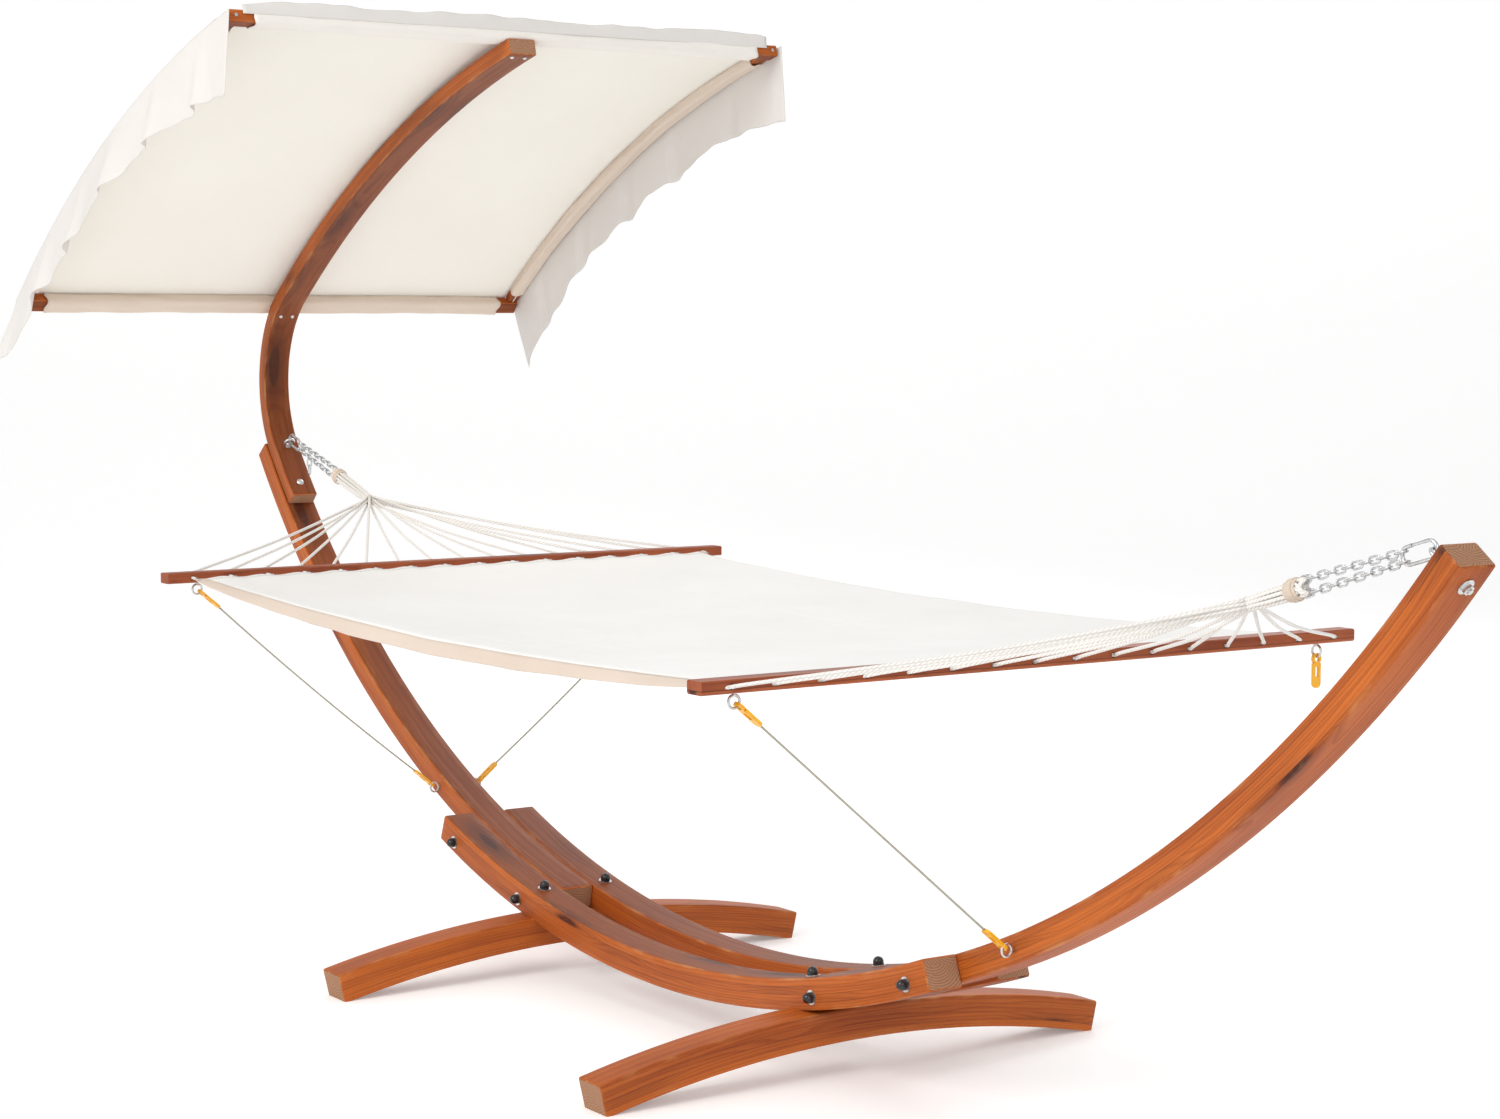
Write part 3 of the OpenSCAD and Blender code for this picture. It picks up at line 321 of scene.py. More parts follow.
def stained_wood(name, light, dark, knot, board=0.016, straight=False):
    """Stained softwood glued up from thin boards: growth rings, pores, knots and glue lines.

    The grain attribute holds the distance along the timber, across it and through its depth.
    """
    finish = Finish(name, Coat_Weight=0.05, Coat_Roughness=0.35, Specular_IOR_Level=0.25)
    if straight:
        x, y, z = finish.parts(finish.here())
        along, across, through = y, x, z
        piece, cut, edge = 3.0, 0.0, 0.0
    else:
        along, across, through = finish.parts(finish.attribute("grain").out("Vector"))
        piece, cut, edge = finish.number("piece"), finish.number("cut"), finish.number("edge")
    layer = (through / board).floor()
    board_place = finish.vector(layer, piece, 0.0)
    chance = finish.node(
        "ShaderNodeTexWhiteNoise", {"noise_dimensions": "2D"}, {"Vector": board_place}
    )
    luck, more_luck, _ = finish.parts(chance.out("Color"))

    # knots sit far apart along the timber and push the rings aside
    knot_place = finish.vector(along * 2.3 + luck * 9.0, across * 9.0, through * 9.0 + piece)
    spots = finish.node("ShaderNodeTexVoronoi", {"feature": "F1"}, {"Vector": knot_place, "Scale": 1.0})
    knots = 1.0 - spots.out("Distance").ramp(0.05, 0.16)
    halo = 1.0 - spots.out("Distance").ramp(0.12, 0.42)

    # growth rings round a heart that wanders along each board
    wander = finish.noise(finish.vector(along * 0.9 + luck * 20.0, piece, layer), 1.0, 2.0)
    wobble = finish.noise(finish.vector(along * 4.0, across * 30.0, through * 30.0 + piece), 1.0, 3.0)
    heart_y = across + (luck - 0.5) * 0.10 + (wander - 0.5) * 0.05
    heart_z = through - (layer + 0.5) * board + 0.035 + more_luck * 0.05
    reach = (heart_y * heart_y + heart_z * heart_z) ** 0.5
    reach = reach + (wobble - 0.5) * 0.006 + halo * 0.010
    ring_width = 0.0052
    ring = (reach / ring_width).fraction()
    late = ring.ramp(0.35, 0.88) * (1.0 - ring.ramp(0.93, 1.0))
    fibre_place = finish.vector(along * 9.0 + piece, across * 620.0, through * 620.0)
    fibre = finish.noise(fibre_place, 1.0, 3.0, 0.65)
    cloud_place = finish.vector(along * 2.2 + piece * 3.0, across * 12.0, through * 12.0)
    cloud = finish.noise(cloud_place, 1.0, 3.0)
    streak_place = finish.vector(along * 1.6, across * 90.0 + piece, through * 90.0)
    streak = finish.noise(streak_place, 1.0, 3.0)

    # glue lines, and a board to board change of tone
    seam = (through / board).fraction()
    glue = 1.0 - seam.ramp(0.0, 0.045) * (1.0 - seam.ramp(0.955, 1.0))
    shade = late * 0.26 + (fibre - 0.5) * 0.60 + (cloud - 0.45) * 0.85 + (luck - 0.5) * 0.35
    shade = shade + (streak - 0.5) * 0.60 + 0.36
    colour = finish.mix(shade.clamped(), light, dark)
    colour = finish.mix((glue * 0.55 + knots * 0.80 + halo * 0.28).clamped(), colour, knot)
    worn_place = finish.vector(along * 14.0, across * 60.0, through * 60.0)
    worn = finish.noise(worn_place, 1.0, 3.0).ramp(0.45, 0.72)
    if not straight:
        colour = finish.mix(edge * worn * 0.50, colour, tone(206, 146, 92))
        sawn = finish.noise(finish.vector(across * 900.0, through * 160.0, piece), 1.0, 2.0)
        end_shade = (late * 0.45 + sawn * 0.65).clamped()
        end_tone = finish.mix(end_shade, tone(188, 144, 112), tone(122, 80, 56))
        colour = finish.mix(cut, colour, end_tone)
    finish.drive("Base Color", colour)
    rough = 0.44 + fibre * 0.16 + late * 0.05 + cut * 0.25
    finish.drive("Roughness", rough)
    finish.bump(late * -0.35 + fibre * 0.55 + glue * -1.2 + knots * 0.4, 0.35, 0.0006)
    return finish.material


def zinc(name):
    """Bright zinc plate, a little cloudy, with fine draw marks."""
    finish = Finish(name, Metallic=1.0)
    place = finish.here()
    cloud = finish.noise(place, 160.0, 4.0)
    speck = finish.noise(place, 1400.0, 2.0)
    colour = finish.mix(cloud.ramp(0.3, 0.75), tone(196, 198, 200), tone(228, 229, 228))
    finish.drive("Base Color", colour)
    finish.drive("Roughness", 0.20 + cloud * 0.22)
    finish.bump(cloud * 0.6 + speck * 0.4, 0.18, 0.0002)
    return finish.material


def moulded_plastic(name, light, dark, rough):
    """Moulded plastic with a faint flow cloud and a fine orange-peel surface."""
    finish = Finish(name, Coat_Weight=0.25, Coat_Roughness=0.12)
    place = finish.here()
    flow = finish.noise(place, 90.0, 3.0)
    peel = finish.noise(place, 1800.0, 2.0)
    finish.drive("Base Color", finish.mix(flow, light, dark))
    finish.drive("Roughness", rough + flow * 0.12)
    finish.bump(peel, 0.10, 0.0002)
    return finish.material


def woven_cloth(name, light, dark, thread, painted_glow=0.0, alpha=1.0):
    """Plain weave; the weave attribute holds the distances along the weft and the warp."""
    finish = Finish(name, Sheen_Weight=0.15, Sheen_Roughness=0.5, Specular_IOR_Level=0.15, Alpha=alpha)
    weft, warp, _ = finish.parts(finish.attribute("weave").out("Vector"))
    turns = 2 * math.pi / thread
    over = (weft * turns).sine() * (warp * turns).sine()
    rows = (weft * turns * 0.5).sine().size() * 0.5 + (warp * turns * 0.5).sine().size() * 0.5
    thick = finish.noise(finish.vector(weft * 30.0, warp * 700.0, 0.0), 1.0, 2.0)
    thick_too = finish.noise(finish.vector(weft * 700.0, warp * 30.0, 5.0), 1.0, 2.0)
    cloud = finish.noise(finish.vector(weft * 2.5, warp * 2.5, 0.0), 1.0, 4.0)
    # the raised weave crossings are a little lighter and the sunk ones a little darker: painted light and
    # shade; cloud and thread thickness vary the tone at random
    shade = (cloud - 0.5) * 0.8 + (thick + thick_too - 1.0) * 0.25 + 0.4 - over * 0.12
    finish.drive("Base Color", finish.mix(shade.clamped(), light, dark))
    finish.drive("Roughness", 0.86 + thick * 0.10)
    finish.bump(over * 0.5 + rows * 0.6 + (thick + thick_too) * 0.6, 0.35, 0.0004)
    # emission makes the cloth glow a little: painted light standing in for light coming through the cloth
    if painted_glow:
        finish.shader.inputs["Emission Color"].default_value = light
        finish.shader.inputs["Emission Strength"].default_value = painted_glow
    return finish.material


def laid_rope(name, light, dark, lay, strands=3.0):
    """Twisted cord; the lay attribute holds the distance along it and the turn round it."""
    finish = Finish(name, Sheen_Weight=0.2, Specular_IOR_Level=0.2)
    along, turn, _ = finish.parts(finish.attribute("lay").out("Vector"))
    strand = ((turn * strands + along / lay) * math.pi).sine().size()
    fibre = finish.noise(finish.vector(along * 260.0, turn * 14.0, 0.0), 1.0, 3.0, 0.6)
    grime = finish.noise(finish.vector(along * 6.0, turn * 2.0, 3.0), 1.0, 3.0)
    # the grooves between strands are darker: painted shade; fibre and grime vary the tone at random
    shade = (1.0 - strand) * 0.55 + (fibre - 0.5) * 0.35 + (grime - 0.5) * 0.35 + 0.10
    finish.drive("Base Color", finish.mix(shade.clamped(), light, dark))
    finish.drive("Roughness", 0.80 + fibre * 0.15)
    finish.bump(strand ** 0.6 + fibre * 0.25, 0.60, 0.0010)
    return finish.material


STAINED = stained_wood("stained_timber", tone(202, 106, 34), tone(136, 58, 18), tone(66, 26, 12))
POLE_STAIN = stained_wood("pole_timber", tone(200, 106, 40), tone(130, 58, 22), tone(60, 25, 11))
BAR_WOOD = stained_wood(
    "bar_timber", tone(186, 100, 58), tone(118, 52, 28), tone(58, 26, 16), 0.040, True
)
ZINC = zinc("zinc_plate")
BLACK = moulded_plastic("black_cap", tone(18, 18, 19), tone(30, 30, 32), 0.22)
YELLOW = moulded_plastic("yellow_hook", tone(250, 190, 20), tone(236, 160, 10), 0.28)
CANVAS = woven_cloth("bed_canvas", tone(244, 243, 241), tone(226, 225, 222), 0.0016)
# a darker beige copy of the canvas for the bed's turned-down sides: painted shade
CANVAS_SHADED_SIDE = woven_cloth("bed_canvas_painted_shade", tone(224, 208, 194), tone(202, 184, 168), 0.0012)
# the number after the thread size is a painted glow: emission that stands in for light coming through the
# cloth
SHADE = woven_cloth("shade_cloth", tone(240, 237, 229), tone(230, 225, 215), 0.0010, 0.06)
SHADE_SLEEVE = woven_cloth("shade_sleeve", tone(228, 213, 198), tone(206, 188, 172), 0.0010, 0.02)
HIGH_SLEEVE = woven_cloth("shade_front_sleeve", tone(240, 236, 230), tone(222, 216, 208), 0.0010, 0.04)
VALANCE = woven_cloth("shade_side", tone(234, 230, 226), tone(214, 209, 204), 0.0009, 0.02, alpha=0.92)
ROPE = laid_rope("white_rope", tone(246, 244, 240), tone(200, 192, 182), 0.010)
TWINE = laid_rope("tan_twine", tone(236, 222, 206), tone(186, 164, 142), 0.004)
GREY_CORD = laid_rope("grey_cord", tone(196, 190, 172), tone(132, 126, 110), 0.005)
STITCH = laid_rope("seam_thread", tone(226, 220, 212), tone(180, 172, 162), 0.0015)


# ---------------------------------------------------------------- mesh making


def new_piece(name, points, faces, material, body, attributes=None, replaced=()):
    """Makes a mesh object that rides on a body and stands for CAD nodes."""
    mesh = bpy.data.meshes.new(name)
    mesh.from_pydata([tuple(p) for p in points], [], faces)
    for key, values in (attributes or {}).items():
        if isinstance(values[0], (tuple, list, Vector)):
            layer = mesh.attributes.new(key, "FLOAT_VECTOR", "POINT")
            layer.data.foreach_set("vector", [x for v in values for x in v])
        else:
            layer = mesh.attributes.new(key, "FLOAT", "POINT")
            layer.data.foreach_set("value", values)
    mesh.materials.append(material)
    mesh.polygons.foreach_set("use_smooth", [True] * len(mesh.polygons))
    piece = bpy.data.objects.new(name, mesh)
    bpy.context.scene.collection.objects.link(piece)
    tidy_normals(mesh)
    if body:
        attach(piece, body)
    if replaced:
        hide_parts(*replaced)
    return piece


def tidy_normals(mesh):
    """Turns all faces outwards."""
    work = bmesh.new()
    work.from_mesh(mesh)
    bmesh.ops.recalc_face_normals(work, faces=work.faces)
    work.to_mesh(mesh)
    work.free()


def ring_faces(count, rings, closed=True):
    """Quads that join rings of count points; closed joins each ring's last point to its first."""
    faces = []
    for i in range(rings - 1):
        for j in range(count if closed else count - 1):
            k = (j + 1) % count
            faces.append((i * count + j, i * count + k, (i + 1) * count + k, (i + 1) * count + j))
    return faces


def two_sided_faces(rows, columns):
    """Faces of a closed sheet whose two sides are grids of points, one listed after the other."""
    width = columns + 1
    layer = width * (rows + 1)
    faces = []
    for i in range(rows):
        for j in range(columns):
            a = i * width + j
            quad = (a, a + 1, a + width + 1, a + width)
            faces.append(quad)
            faces.append(tuple(layer + k for k in reversed(quad)))
    rim = list(range(width))
    rim += [i * width + columns for i in range(1, rows + 1)]
    rim += [rows * width + j for j in range(columns - 1, -1, -1)]
    rim += [i * width for i in range(rows - 1, 0, -1)]
    for a, b in zip(rim, rim[1:] + rim[:1]):
        faces.append((a, b, layer + b, layer + a))
    return faces


def on_both_sides(rows, columns, value):
    """What value(i, j) gives at each point of a two-sided sheet, i and j from 0 to 1."""
    return [
        value(i / rows, j / columns)
        for _ in (0, 1)
        for i in range(rows + 1)
        for j in range(columns + 1)
    ]


def rounded_outline(width, depth, radius, turns=4):
    """Points (across, through, on a corner) round a timber's section, depth from 0 up."""
    outline = []
    for sx, sz, start in ((1, 1, 0), (-1, 1, 90), (-1, -1, 180), (1, -1, 270)):
        cx = sx * (width / 2 - radius)
        cz = depth / 2 + sz * (depth / 2 - radius)
        for k in range(turns + 1):
            a = math.radians(start + 90 * k / turns)
            corner = 1.0 if 0 < k < turns else 0.35
            outline.append((cx + radius * math.cos(a), cz + radius * math.sin(a), corner))
    return outline


def widened(outline):
    """The outline with more points along its flats, so that a bump of the hand can be modelled."""
    more = []
    for i, (x, z, corner) in enumerate(outline):
        nx, nz, _ = outline[(i + 1) % len(outline)]
        more.append((x, z, corner))
        if math.hypot(nx - x, nz - z) > 0.012:
            for k in (1, 2, 3):
                more.append((x + (nx - x) * k / 4, z + (nz - z) * k / 4, 0.0))
    return more


piece_number = [0]


def timber(name, stations, width, depth, radius, replaced, material=None):
    """Sweeps a rounded section along stations and caps both ends.

    A station is (distance, point, across, through).
    """
    piece_number[0] += 1
    number = piece_number[0]
    outline = widened(rounded_outline(width, depth, radius))
    count = len(outline)
    soft = radius * 0.7
    first, last = stations[0], stations[-1]
    points, grain, cut, edge = [], [], [], []

    def add_ring(station, inset, push, is_cut):
        distance, origin, across, through = station
        ahead = across.cross(through)
        for x, z, corner in outline:
            kx = x * (1 - inset / (width / 2))
            kz = depth / 2 + (z - depth / 2) * (1 - inset / (depth / 2))
            wave = 0.0004 * noise.noise(Vector((distance * 7 + number * 5, x * 30, z * 30)))
            points.append(origin + across * (kx * (1 + wave * 4)) + through * kz + ahead * push)
            grain.append((distance + number * 3.7, kx, kz))
            cut.append(is_cut)
            edge.append(max(corner, 0.9 if inset else 0.0))

    def ahead_of(a, b):
        return 1.0 if (b[1] - a[1]).dot(a[2].cross(a[3])) > 0 else -1.0

    way = ahead_of(stations[0], stations[1])
    add_ring(first, soft, 0.0, 1.0)
    add_ring(first, soft, 0.0, 0.0)
    add_ring(first, soft * 0.3, way * soft * 0.3, 0.0)
    add_ring(first, 0.0, way * soft, 0.0)
    for station in stations[1:-1]:
        add_ring(station, 0.0, 0.0, 0.0)
    add_ring(last, 0.0, -way * soft, 0.0)
    add_ring(last, soft * 0.3, -way * soft * 0.3, 0.0)
    add_ring(last, soft, 0.0, 0.0)
    add_ring(last, soft, 0.0, 1.0)
    rings = len(points) // count
    faces = ring_faces(count, rings)
    faces = [f for f in faces if not (f[0] < count or f[2] >= (rings - 1) * count)]
    faces.append(tuple(range(count)))
    faces.append(tuple((rings - 1) * count + j for j in range(count)))
    attributes = {"grain": grain, "cut": cut, "edge": edge, "piece": [float(number)] * len(points)}
    finish = material or STAINED
    return new_piece(name, points, faces, finish, STAND, attributes, replaced)


def arc_stations(centre, radius, start, stop, side_y=0.0, step=0.020, depth=0.0, begin=0.0):
    """Stations along an arc in the XZ plane; start and stop in degrees from +X towards +Z."""
    length = math.radians(abs(stop - start)) * (radius + depth / 2)
    count = max(2, int(length / step))
    made = []
    for i in range(count + 1):
        a = math.radians(start + (stop - start) * i / count)
        through = Vector((math.cos(a), 0, math.sin(a)))
        origin = Vector((centre.x, side_y, centre.z)) + radius * through
        made.append((begin + length * i / count, origin, Vector((0, 1, 0)), through))
    return made


def make_rails_and_arms():
    """Two rails with the two arms between them, all on one circle."""
    centre = Vector((0, 0, RAIL_CENTRE_Z))
    half = degrees_of(RAIL_HALF / RAIL_RADIUS)
    for name, side in (("rail_front", -1), ("rail_rear", 1)):
        y = side * (ARM_WIDTH + RAIL_WIDTH) / 2
        stations = arc_stations(centre, RAIL_RADIUS, -90 - half, -90 + half, y, depth=RAIL_DEPTH)
        timber("timber_" + name, stations, RAIL_WIDTH, RAIL_DEPTH, BEAM_EDGE, [name])
    low = degrees_of(ARM_LOW_X / RAIL_RADIUS)
    for name, side in (("arm_head", -1), ("arm_foot", 1)):
        stations = arc_stations(
            centre, RAIL_RADIUS, -90 + side * low, -90 + side * ARM_TOP_ANGLE, depth=ARM_DEPTH
        )
        timber("timber_" + name, stations, ARM_WIDTH, ARM_DEPTH, BEAM_EDGE, [name])


def make_cross_feet():
    """Two arched feet across the stand."""
    centre_z = -math.sqrt(FOOT_RADIUS**2 - (FOOT_LENGTH / 2 - FOOT_FLAT) ** 2)
    reach = degrees_of(FOOT_LENGTH / 2 / FOOT_RADIUS)
    for name, side in (("cross_foot_head", -1), ("cross_foot_foot", 1)):
        stations = []
        count = 60
        for i in range(count + 1):
            a = math.radians(90 - reach + 2 * reach * i / count)
            through = Vector((0, math.cos(a), math.sin(a)))
            origin = Vector((side * FOOT_X, 0, centre_z)) + FOOT_RADIUS * through
            distance = math.radians(2 * reach) * FOOT_RADIUS * i / count
            stations.append((distance, origin, Vector((1, 0, 0)), through))
        piece = timber("timber_" + name, stations, FOOT_WIDTH, FOOT_DEPTH, BEAM_EDGE, [name])
        trim_below_ground(piece)


def trim_below_ground(piece):
    """Cuts a cross foot's ends level, so that it stands flat."""
    work = bmesh.new()
    work.from_mesh(piece.data)
    everything = work.verts[:] + work.edges[:] + work.faces[:]
    cut = bmesh.ops.bisect_plane(
        work, geom=everything, plane_co=(0, 0, 0), plane_no=(0, 0, -1), clear_outer=True
    )
    edges = [e for e in cut["geom_cut"] if isinstance(e, bmesh.types.BMEdge)]
    bmesh.ops.holes_fill(work, edges=edges, sides=0)
    bmesh.ops.recalc_face_normals(work, faces=work.faces)
    work.to_mesh(piece.data)
    work.free()


def make_canopy_pole():
    """The pole laps the arm, bends through a tight arc and rises on a wide one."""
    circle = Vector((0, 0, RAIL_CENTRE_Z))
    lap = arc_stations(
        circle, RAIL_RADIUS - POLE_DEPTH, 270 - LAP_ANGLE, 270 - EYE_ANGLE, step=0.012, depth=POLE_DEPTH
    )
    bend = arc_stations(
        BEND_CENTRE, BEND_RADIUS - POLE_DEPTH, 270 - EYE_ANGLE, 90 + BEND_END, step=0.012,
        depth=POLE_DEPTH, begin=lap[-1][0],
    )
    rise = arc_stations(
        UPPER_CENTRE, UPPER_RADIUS - POLE_DEPTH, 90 + BEND_END, 90 + POLE_END,
        depth=POLE_DEPTH, begin=bend[-1][0],
    )
    stations = lap + bend[1:] + rise[1:]
    timber("timber_canopy_pole", stations, POLE_WIDTH, POLE_DEPTH, POLE_EDGE, ["canopy_pole"], POLE_STAIN)


def bar_stations(place, slope, length):
    """Stations along a straight canopy bar, from its -Y end to its +Y end."""
    through = outward(slope)
    low_face = place - through * (SHADE_BAR_DEPTH / 2)
    count = 30
    made = []
    for i in range(count + 1):
        y = -length / 2 + length * i / count
        made.append((y + length / 2, low_face + Vector((0, y, 0)), climbing(slope), through))
    return made


def make_canopy_frame():
    """Two straight bars across the pole and two curved battens between their ends."""
    for name, place, slope in (
        ("canopy_bar_low", LOW_BAR, LOW_BAR_SLOPE),
        ("canopy_bar_high", HIGH_BAR, HIGH_BAR_SLOPE),
    ):
        stations = bar_stations(place, slope, SHADE_LENGTH)
        timber("timber_" + name, stations, SHADE_BAR_WIDTH, SHADE_BAR_DEPTH, BAR_EDGE, [name])
    trim = math.degrees((SHADE_BAR_WIDTH / 2 - 0.001) / BATTEN_RADIUS)
    for name, side in (("batten_near", -1), ("batten_far", 1)):
        stations = arc_stations(
            UPPER_CENTRE, BATTEN_RADIUS - BATTEN_DEPTH / 2, 90 + HIGH_BAR_SLOPE + trim,
            90 + LOW_SLOPE - trim, side * BATTEN_Y, depth=BATTEN_DEPTH,
        )
        timber("timber_" + name, stations, BATTEN_WIDTH, BATTEN_DEPTH, BATTEN_EDGE, [name])


def tube_mesh(paths, sides=8):
    """Points, faces and lay attribute of round tubes; a path is a list of (point, radius)."""
    points, faces, lay = [], [], []
    for path in paths:
        base = len(points)
        places = [Vector(p) for p, _ in path]
        normal = None
        distance = 0.0
        for i, (place, radius) in enumerate(zip(places, (r for _, r in path))):
            ahead = (places[min(i + 1, len(places) - 1)] - places[max(i - 1, 0)]).normalized()
            if normal is None:
                seed = Vector((0, 0, 1)) if abs(ahead.z) < 0.8 else Vector((0, 1, 0))
                normal = ahead.cross(seed).normalized()
            else:
                distance += (place - places[i - 1]).length
                normal = (normal - ahead * normal.dot(ahead)).normalized()
            side = ahead.cross(normal)
            for j in range(sides):
                a = 2 * math.pi * j / sides
                points.append(place + radius * (math.cos(a) * normal + math.sin(a) * side))
                lay.append((distance, j / sides, 0.0))
        faces += [tuple(base + k for k in f) for f in ring_faces(sides, len(path))]
        faces.append(tuple(base + j for j in range(sides)))
        faces.append(tuple(base + (len(path) - 1) * sides + j for j in range(sides)))
    return points, faces, lay


def tubes(name, paths, material, body, replaced=(), sides=8):
    """Makes one piece of many round tubes."""
    points, faces, lay = tube_mesh(paths, sides)
    return new_piece(name, points, faces, material, body, {"lay": lay}, replaced)


def smooth_path(controls, step):
    """Points about step apart on a smooth curve through the control points."""
    controls = [Vector(c) for c in controls]
    padded = [2 * controls[0] - controls[1]] + controls + [2 * controls[-1] - controls[-2]]
    made = []
    for a, b, c, d in zip(padded, padded[1:], padded[2:], padded[3:]):
        count = max(1, round((c - b).length / step))
        for i in range(count):
            t = i / count
            square = (2 * a - 5 * b + 4 * c - d) * t**2
            cube = (3 * b - a - 3 * c + d) * t**3
            made.append(0.5 * (2 * b + (c - a) * t + square + cube))
    made.append(controls[-1])
    return made


# ---------------------------------------------------------------- tie cords


def unit(vector):
    return vector / vector.length


def bar_eye(side, hand):
    """Centre of the screw eye under a spreader bar."""
    return BAR[side] + Vector((0, hand * TIE_Y, -BAR_DEPTH / 2 - SCREW_EYE_STAND))


def arm_eye(side, hand):
    """Centre of the screw eye on the side of an arm."""
    angle = degrees_of(ARM_EYE_X / (RAIL_RADIUS + ARM_DEPTH / 2))
    place = on_circle(RAIL_RADIUS + ARM_DEPTH / 2, side * angle)
    return place + Vector((0, hand * (ARM_WIDTH / 2 + SCREW_EYE_STAND), 0))


def make_tie_cords():
    """Thin cords from the bars' corners to the arms, stretched between stand and hammock."""
    for name, side, hand, sag in (
        ("tie_cord_head_near", -1, -1, 0.008),
        ("tie_cord_head_far", -1, 1, 0.008),
        ("tie_cord_foot_near", 1, -1, 0.0),
    ):
        top, foot = bar_eye(side, hand), arm_eye(side, hand)
        along = unit(foot - top)
        inset = CLIP_SEAT + CLIP_LENGTH + CORD_CLEAR
        start, stop = top + along * inset, foot - along * inset
        route = []
        for i in range(45):
            k = i / 44
            route.append(start + (stop - start) * k - Vector((0, 0, 4 * sag * k * (1 - k))))
        points, faces, lay = tube_mesh([[(p, CORD_DIAMETER / 2) for p in route]], 10)
        cord = new_piece(
            name + "_rope", points, faces, GREY_CORD, None, {"lay": lay}, [name]
        )
        length = sum((b - a).length for a, b in zip(route, route[1:]))
        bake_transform(cord)


# ---------------------------------------------------------------- ropes


def bundle_places():
    """Sixteen rope centres packed in a round bundle, in order across it: (across, above)."""
    places = []
    for count, radius, turn in ((1, 0.0, 0.0), (5, 0.0064, 0.3), (10, 0.0131, 0.0)):
        for i in range(count):
            a = turn + 2 * math.pi * i / count
            places.append((radius * math.cos(a), radius * math.sin(a)))
    return sorted(places)


def make_ropes(side, tag):
    """Ropes from the chains through the whipping to the bar's outer face and through its holes."""
    chance = random.Random(20 + side)
    u_end = fan_u(side)
    bar = BAR[side]
    hem_x = bar.x - side * (BAR_WIDTH / 2 + BED_GAP + 0.004)
    hem_share = (BED_WIDTH / 2 - BED_HEM_IN) / ((ROPE_COUNT - 1) / 2 * ROPE_GAP)
    spread = strand_spread()
    paths = []
    for i, (across, above) in enumerate(bundle_places()):
        y = (i - (ROPE_COUNT - 1) / 2) * ROPE_GAP
        strand = 1 if i % 2 else -1
        pinch = 0.74 + 0.05 * chance.random()
        controls = [
            pull_point(side, BUNDLE_U - 0.006, strand * spread, across * 0.3),
            pull_point(side, BUNDLE_U + 0.004, strand * spread * 0.8 + above * 0.3, across * 0.7),
            pull_point(side, WHIPPING_U - 0.012, above, across),
            pull_point(side, WHIPPING_U + 0.014, above, across),
            pull_point(side, (WHIPPING_U + u_end) / 2, above * 0.95, across * 0.95),
            pull_point(side, u_end - 0.020, above * pinch, across * pinch),
            pull_point(side, u_end - 0.004, above * pinch, across * pinch),
        ]
        start = controls[-1]
        mouth = Vector((bar.x + side * (BAR_WIDTH / 2 + 0.0042), y, bar.z))
        run = unit(mouth - start)
        slack = 0.004 + 0.006 * chance.random()
        controls += [
            start + run * 0.022,
            start.lerp(mouth, 0.5) - Vector((0, 0, slack)),
            mouth - run * 0.018 + Vector((0, 0, 0.0010)),
            mouth,
            Vector((bar.x + side * BAR_WIDTH / 4, y, bar.z)),
            Vector((bar.x - side * BAR_WIDTH / 2, y, bar.z)),
            Vector((hem_x, y * hem_share, bar.z - 0.001)),
        ]
        paths.append([(p, ROPE_RADIUS * ROPE_LAY_SHARE) for p in smooth_path(controls, 0.008)])
    replaced = ["fan_ropes_" + tag, "rope_bundle_" + tag]
    tubes("ropes_" + tag, paths, ROPE, HAMMOCK, replaced, 9)


def strand_spread():
    """How far each chain's last link lies from the line of pull."""
    return CHAIN_APART + (CHAIN_LINKS - 1) * CHAIN_PITCH * math.sin(math.radians(CHAIN_SPLAY))


def make_whipping(side, tag):
    """A tan cord wound tightly round the ropes at the chain end, with a second layer over it."""
    paths = []
    for turns, cord, radius, start in ((10, 0.0014, 0.0170, 0.0), (5, 0.0014, 0.0192, 0.6)):
        path = []
        for i in range(turns * 24 + 1):
            a = 2 * math.pi * i / 24 + start
            u = WHIPPING_U + (i / 24 - turns / 2) * cord * 1.95
            out = radius + 0.0002 * math.sin(a * 3.1)
            path.append((pull_point(side, u, out * math.sin(a), out * math.cos(a)), cord))
        paths.append(path)
    tubes("whipping_cord_" + tag, paths, TWINE, HAMMOCK, ["whipping_" + tag], 8)


# ---------------------------------------------------------------- bed


# share of the half width at which the long sides turn down, and the hem's stitch rows
BED_FOLD = 0.950
STITCH_ROWS = (0.0265, 0.0290)
EYELET_RADIUS, EYELET_WIRE = 0.0048, 0.0011


def bed_point(u, v, lift=0.0):
    """Point of the bed at u from head (0) to foot (1) and v from -1 to 1 across.

    The middle sags most, and the long sides turn down past the fold.
    """
    x0, x1 = HEAD_BAR.x + BAR_WIDTH / 2 + BED_GAP, FOOT_BAR.x - BAR_WIDTH / 2 - BED_GAP
    belly = math.sin(math.pi * u)
    past = max(0.0, abs(v) - BED_FOLD) * BED_WIDTH / 2
    turn = belly**0.5
    dip = BED_SAG * (1 - (2 * u - 1) ** 2) * (1 - 0.38 * v * v)
    drop = past * turn
    across = math.copysign(abs(v) * BED_WIDTH / 2 - past * 0.80 * turn, v)
    level = HEAD_BAR.z + (FOOT_BAR.z - HEAD_BAR.z) * u
    place = Vector((x0 + (x1 - x0) * u, across, level - dip - drop + lift))
    scallop = (0.5 + 0.5 * math.cos(v * math.pi * (ROPE_COUNT - 1))) * 0.005
    place.x += scallop * (math.exp(-u * 26) - math.exp(-(1 - u) * 26))
    ripple = noise.noise(Vector((u * 9, v * 5, 1.7))) * 0.0026
    ripple += noise.noise(Vector((u * 3, v * 22, 4.1))) * 0.0020
    pull = math.sin(v * math.pi * (ROPE_COUNT - 1)) * (math.exp(-u * 22) + math.exp(-(1 - u) * 22))
    place.z += ripple * belly + pull * 0.0020
    place.y += past * 0.5 * noise.noise(Vector((u * 14, v, 6.3))) * belly
    return place


